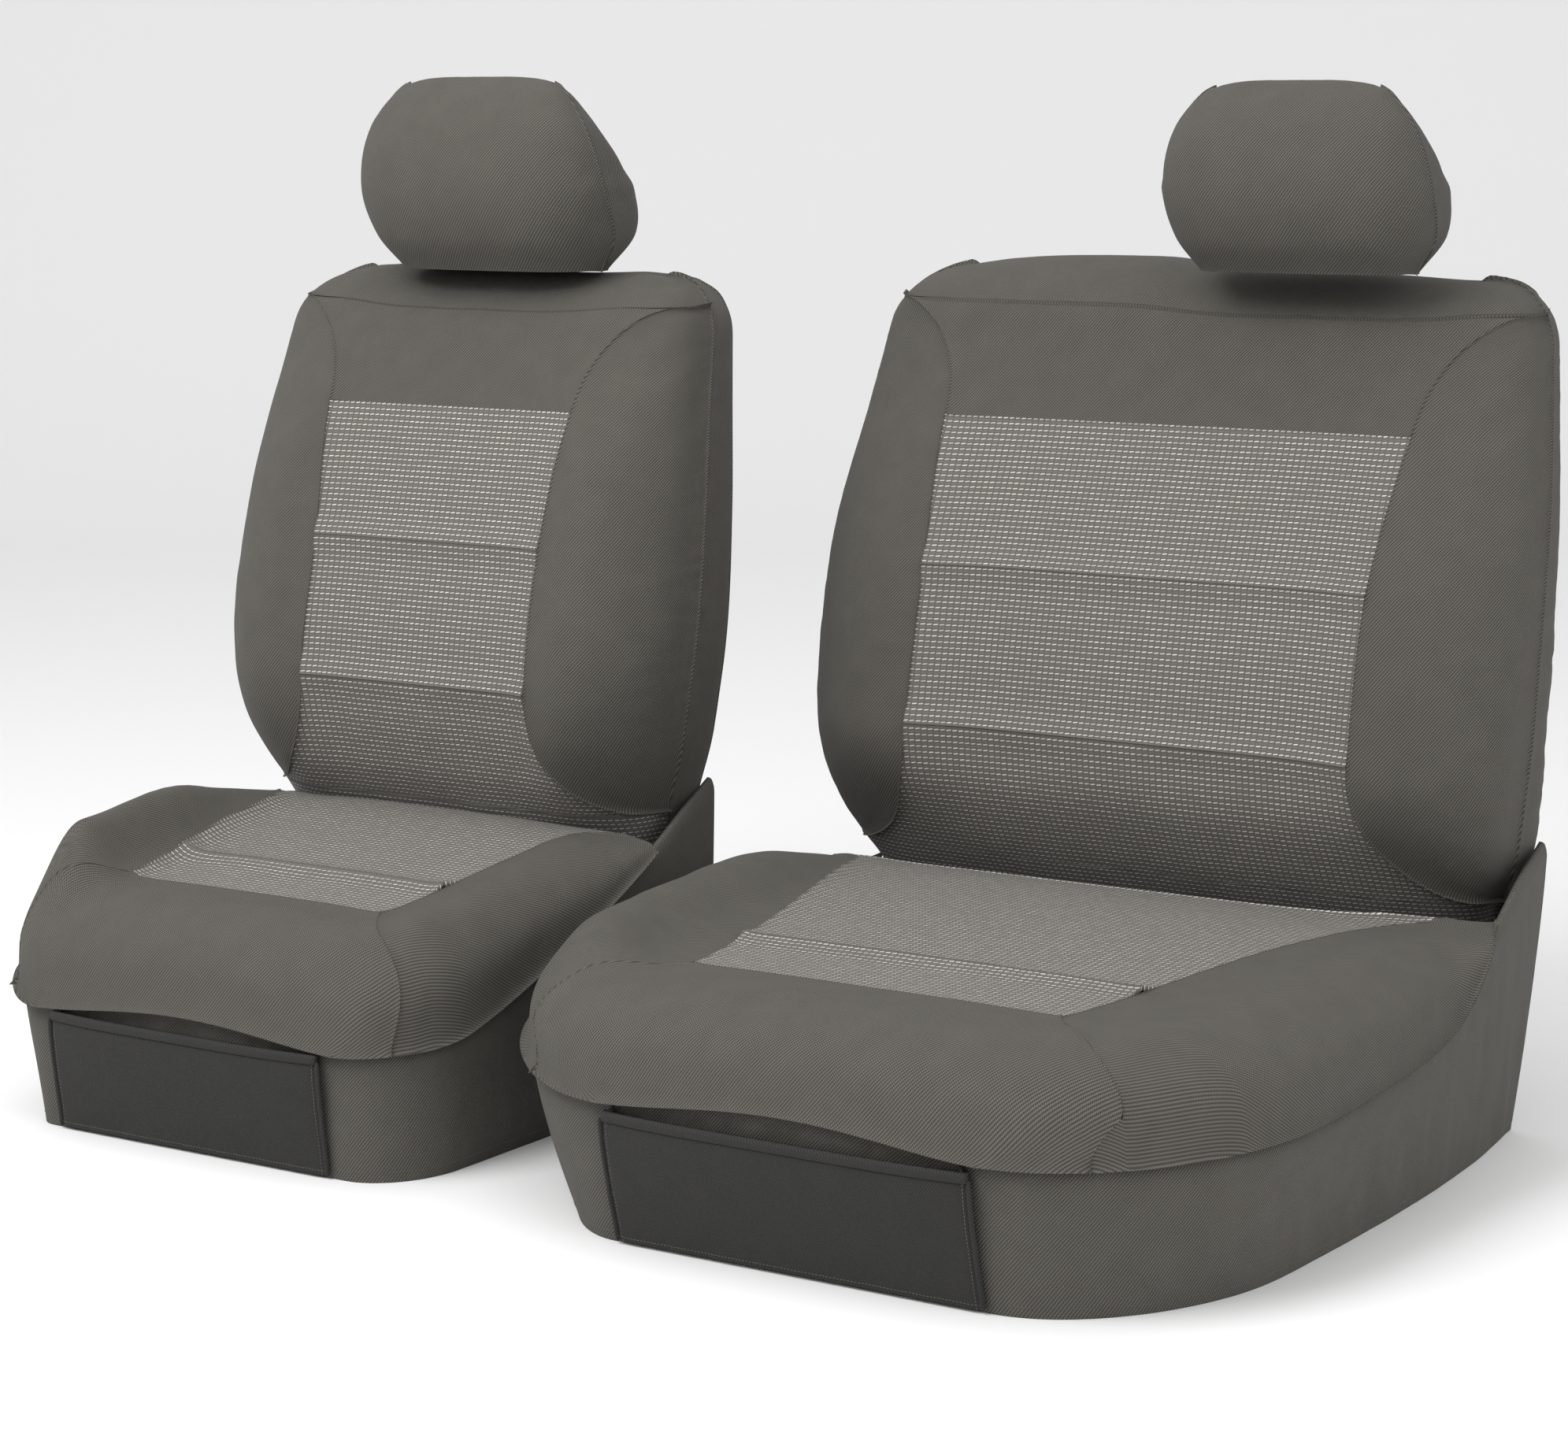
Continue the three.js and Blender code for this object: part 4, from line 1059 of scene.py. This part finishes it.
    panel = Panel(rear_face, lambda v: -float(inside("left", seat["rear"], v)),
                  lambda v: float(inside("right", seat["rear"], v)), 0, rear_height, facing=-1,
                  edges=flat_edges, relief=smooth_relief(43, 0.5), thick=2.6, lift=-0.4)
    add_panel(seat, f"{key}_base_rear_panel", body, panel, "lining", "hung")

    # Pocket on the front of the skirt.
    def skirt_front(z, x=0.0):
        share = np.asarray(z, float) / (seam_height + front_arch(x))
        return seat["front"] + seat["tuck"]["front"] * np.maximum(0, 1 - share) ** 1.4

    def pocket_face(u, v):
        gape = pocket["gape"] * ease(0, pocket["top"], v)
        gape = gape * (1 - (np.abs(u) / (1.12 * pocket["half"])) ** 4)
        return xyz(u, skirt_front(v, u) - 5.8 - gape, v)

    def pocket_slack(s, t, p):
        x, z = p[..., 0], p[..., 2]
        up, out = z / pocket["top"], np.abs(x) / pocket["half"]
        corner = noise((np.abs(x) - z * 1.3) / 20, (np.abs(x) + z) / 120, 61)
        corner = corner * ease(0.45, 0.9, out) * up
        foot = noise(x / 17, z / 40, 62) * (1 - ease(0, 0.4, up))
        broad = 0.8 * noise(x / 80, z / 60, 63) + 0.8 * np.sin(math.pi * up)
        return 1.3 * corner + 1.0 * foot + broad

    pocket_body = f"{key}_pocket"
    wide = (lambda v: -pocket["half"], lambda v: pocket["half"])
    edges = {"low": {**HEM, "pull": 1.5, "reach": 6}, "high": {**HEM, "pull": 1.5, "reach": 6},
             "start": {**HEM, "pucker": 0.8}, "end": FLAT_SEAM}
    panel = Panel(pocket_face, *wide, 3.5, pocket["top"], edges=edges, relief=pocket_slack,
                  thick=2.6)
    add_panel(seat, f"{key}_base_pocket", pocket_body, panel, "pocket", "hung",
              [f"{key}_base_skirt_cloth"])
    rows = [panel.line("start", 5.0), panel.line("low", 5.0), panel.line("high", 5.0)]
    sew(panel, rows)
    # Binding rolled over the mouth.
    rolled = edge_of(3.0, 4.0, 0, 5, 0.25)
    panel = Panel(pocket_face, *wide, pocket["top"], pocket["top"] + 9, thick=4.6, lift=1.2,
                  edges={**dict.fromkeys(SIDES, rolled), "start": {**rolled, "depth": 2.0}},
                  relief=lambda s, t, p: 0.5 * noise(s / 30, t / 20, 64))
    add_panel(seat, f"{key}_base_pocket_binding", pocket_body, panel, "pocket", "hung",
              [f"{key}_base_pocket_cloth"])
    # Piping down the sides of the pocket, and the tucks that close its corners.
    heights = np.linspace(3.5, pocket["top"] + 3, 40)
    for side, sign in (("right", 1), ("left", -1)):
        edge = np.stack([np.full(40, sign * (pocket["half"] + 1.0)),
                         pocket_face(np.array(sign * pocket["half"]), heights)[..., 1] + 1.2,
                         heights], -1)
        edge[:, 0] += 0.5 * noise(heights / 16, 3, 66)
        tube(seat, f"{key}_base_pocket_piping_{side}", edge, 2.3, pocket_body, "pocket")

        def tuck_face(u, v, sign=sign):
            mouth = pocket_face(np.array(sign * pocket["half"]), v)[..., 1] + 3.2
            fold = 7.0 * ease(0, pocket["top"], v) * np.sin(math.pi * clamp01(u))
            y = mix(mouth, skirt_front(v, pocket["half"]) - 0.6, clamp01(u))
            rise = 9 * np.sin(math.pi * clamp01(u)) * ease(0.7, 1.0, v / (pocket["top"] + 6))
            return xyz(sign * (pocket["half"] - 3 - fold), y, v + rise)

        panel = Panel(tuck_face, lambda v: 0.0, lambda v: 1.0, 40, pocket["top"] + 6, facing=sign,
                      edges=dict.fromkeys(SIDES, {**HEM, "depth": 0.4, "pucker": 0.1}),
                      thick=1.2, cell=1.6)
        obj = panel_object(seat, f"{key}_base_pocket_tuck_{side}", panel, "pocket")
        near = to_row(tuck_face(np.array(1.0), np.array(80.0)), seat)
        far = to_row(tuck_face(np.array(0.0), np.array(80.0)), seat)
        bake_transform(obj)
    # Straps under the seat, from the front of the hem to the rear panel, with a buckle each.
    for side, x in (("right", 110), ("left", -110)):
        begin, stop = float(skirt_front(20)) + 10, seat["rear"] - 7
        strap(seat, f"{key}_base_strap_{side}", body, x, 20, begin, stop)
        buckle(f"{key}_base_buckle_{side}", body)


def buckle(node, body):
    """The slide buckle of the CAD model, with its edges rounded."""
    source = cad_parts[node]
    obj = linked(f"{node}_moulding", source.data.copy())
    obj.data.materials.clear()
    obj.data.materials.append(LOOKS["nylon"])
    weld = obj.modifiers.new("weld", "WELD")
    weld.merge_threshold = 1e-5
    bevel = obj.modifiers.new("bevel", "BEVEL")
    bevel.width, bevel.segments, bevel.limit_method = 0.0009, 3, "ANGLE"
    obj.data.shade_smooth()
    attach(obj, body)
    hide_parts(node)


# ------------------------------------------------------------------ scene
bpy.ops.wm.read_factory_settings(use_empty=True)
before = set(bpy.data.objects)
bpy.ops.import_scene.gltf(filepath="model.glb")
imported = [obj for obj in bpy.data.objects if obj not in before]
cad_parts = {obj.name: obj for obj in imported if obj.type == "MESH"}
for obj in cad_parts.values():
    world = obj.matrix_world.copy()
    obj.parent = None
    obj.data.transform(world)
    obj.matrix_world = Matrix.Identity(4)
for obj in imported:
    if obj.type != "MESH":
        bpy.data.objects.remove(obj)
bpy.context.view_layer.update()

LOOKS = {
    "twill": weave_material("plain_twill", (0.026, 0.0245, 0.021), (0.136, 0.128, 0.112), 2.5),
    "pocket": weave_material("pocket_cloth", (0.012, 0.012, 0.011), (0.040, 0.039, 0.036), 2.4,
                             twill=0.5),
    "jacquard": jacquard_material("insert_jacquard", (0.172, 0.163, 0.147), (0.055, 0.052, 0.046),
                                  (0.70, 0.68, 0.64)),
    "lining": ribbed_material("lining_cloth", (0.03, 0.029, 0.026), (0.075, 0.072, 0.066), 2.2),
    "elastic": ribbed_material("elastic", (0.010, 0.010, 0.010), (0.045, 0.045, 0.045), 1.5),
    "pale_thread": thread_material("pale_thread", (0.30, 0.29, 0.27), (0.62, 0.60, 0.56)),
    "dark_thread": thread_material("dark_thread", (0.035, 0.033, 0.029), (0.09, 0.085, 0.076)),
    "nylon": nylon_material("buckle_nylon"),
}
for name, dims in SEATS.items():
    back_cover(name, dims)
    headrest_cover(name, dims)
    base_cover(name, dims)

# Floor, which curves up into a backdrop far behind.
FLOOR = {"near": -6.0, "far": 5.0, "bend": 2.0, "top": 9.0, "half": 12.0}
profile = [(FLOOR["near"], 0.0), (FLOOR["far"], 0.0)]
for k in range(1, 13):
    w = math.pi / 2 * k / 12
    profile.append((FLOOR["far"] + FLOOR["bend"] * math.sin(w), FLOOR["bend"] * (1 - math.cos(w))))
profile.append((FLOOR["far"] + FLOOR["bend"], FLOOR["top"]))
AZIMUTH, ELEVATION = math.radians(32.03), math.radians(9.51)
turn = np.array([[math.cos(AZIMUTH), -math.sin(AZIMUTH)], [math.sin(AZIMUTH), math.cos(AZIMUTH)]])
points, faces = [], []
for y, z in profile:
    for x in (-FLOOR["half"], FLOOR["half"]):
        points.append((*(turn @ np.array([x, y])), z))
for k in range(len(profile) - 1):
    faces.append((2 * k, 2 * k + 1, 2 * k + 3, 2 * k + 2))
paper = Graph("backdrop_paper", roughness=0.95, specular=0.1)
paper.shader.inputs["Base Color"].default_value = (0.86, 0.86, 0.86, 1)
floor = make_object("floor", np.array(points), faces, paper.material)

# Camera: long lens, a little above the seats and to their right.
target = Vector((89.64 + SHIFT[0], SHIFT[1], 410.4 + SHIFT[2])) / 1000
back = Vector((
    math.sin(AZIMUTH) * math.cos(ELEVATION),
    -math.cos(AZIMUTH) * math.cos(ELEVATION),
    math.sin(ELEVATION),
))
camera = linked("camera", bpy.data.cameras.new("camera"))
camera.data.sensor_width, camera.data.lens = 36, 84.9
camera.location = target + back * 3.6666
camera.rotation_mode = "QUATERNION"
camera.rotation_quaternion = (-back).to_track_quat("-Z", "Y")
bpy.context.scene.camera = camera


def softbox(name, azimuth, elevation, distance, size, power):
    light = bpy.data.lights.new(name, "AREA")
    light.shape, light.size, light.energy = "DISK", size, power
    obj = linked(name, light)
    a, e = math.radians(azimuth), math.radians(elevation)
    towards = Vector((math.sin(a) * math.cos(e), -math.cos(a) * math.cos(e), math.sin(e)))
    obj.location = target + towards * distance
    obj.rotation_mode = "QUATERNION"
    obj.rotation_quaternion = (-towards).to_track_quat("-Z", "Y")


softbox("key", -18, 48, 3.6, 2.2, 85)
softbox("fill", 70, 25, 4.2, 3.0, 32)
softbox("top", 10, 85, 3.2, 2.6, 14)
world = bpy.data.worlds.new("studio")
world.use_nodes = True
world.node_tree.nodes["Background"].inputs["Color"].default_value = (1, 1, 1, 1)
world.node_tree.nodes["Background"].inputs["Strength"].default_value = 0.85
bpy.context.scene.world = world
bpy.context.scene.view_settings.view_transform = "Standard"
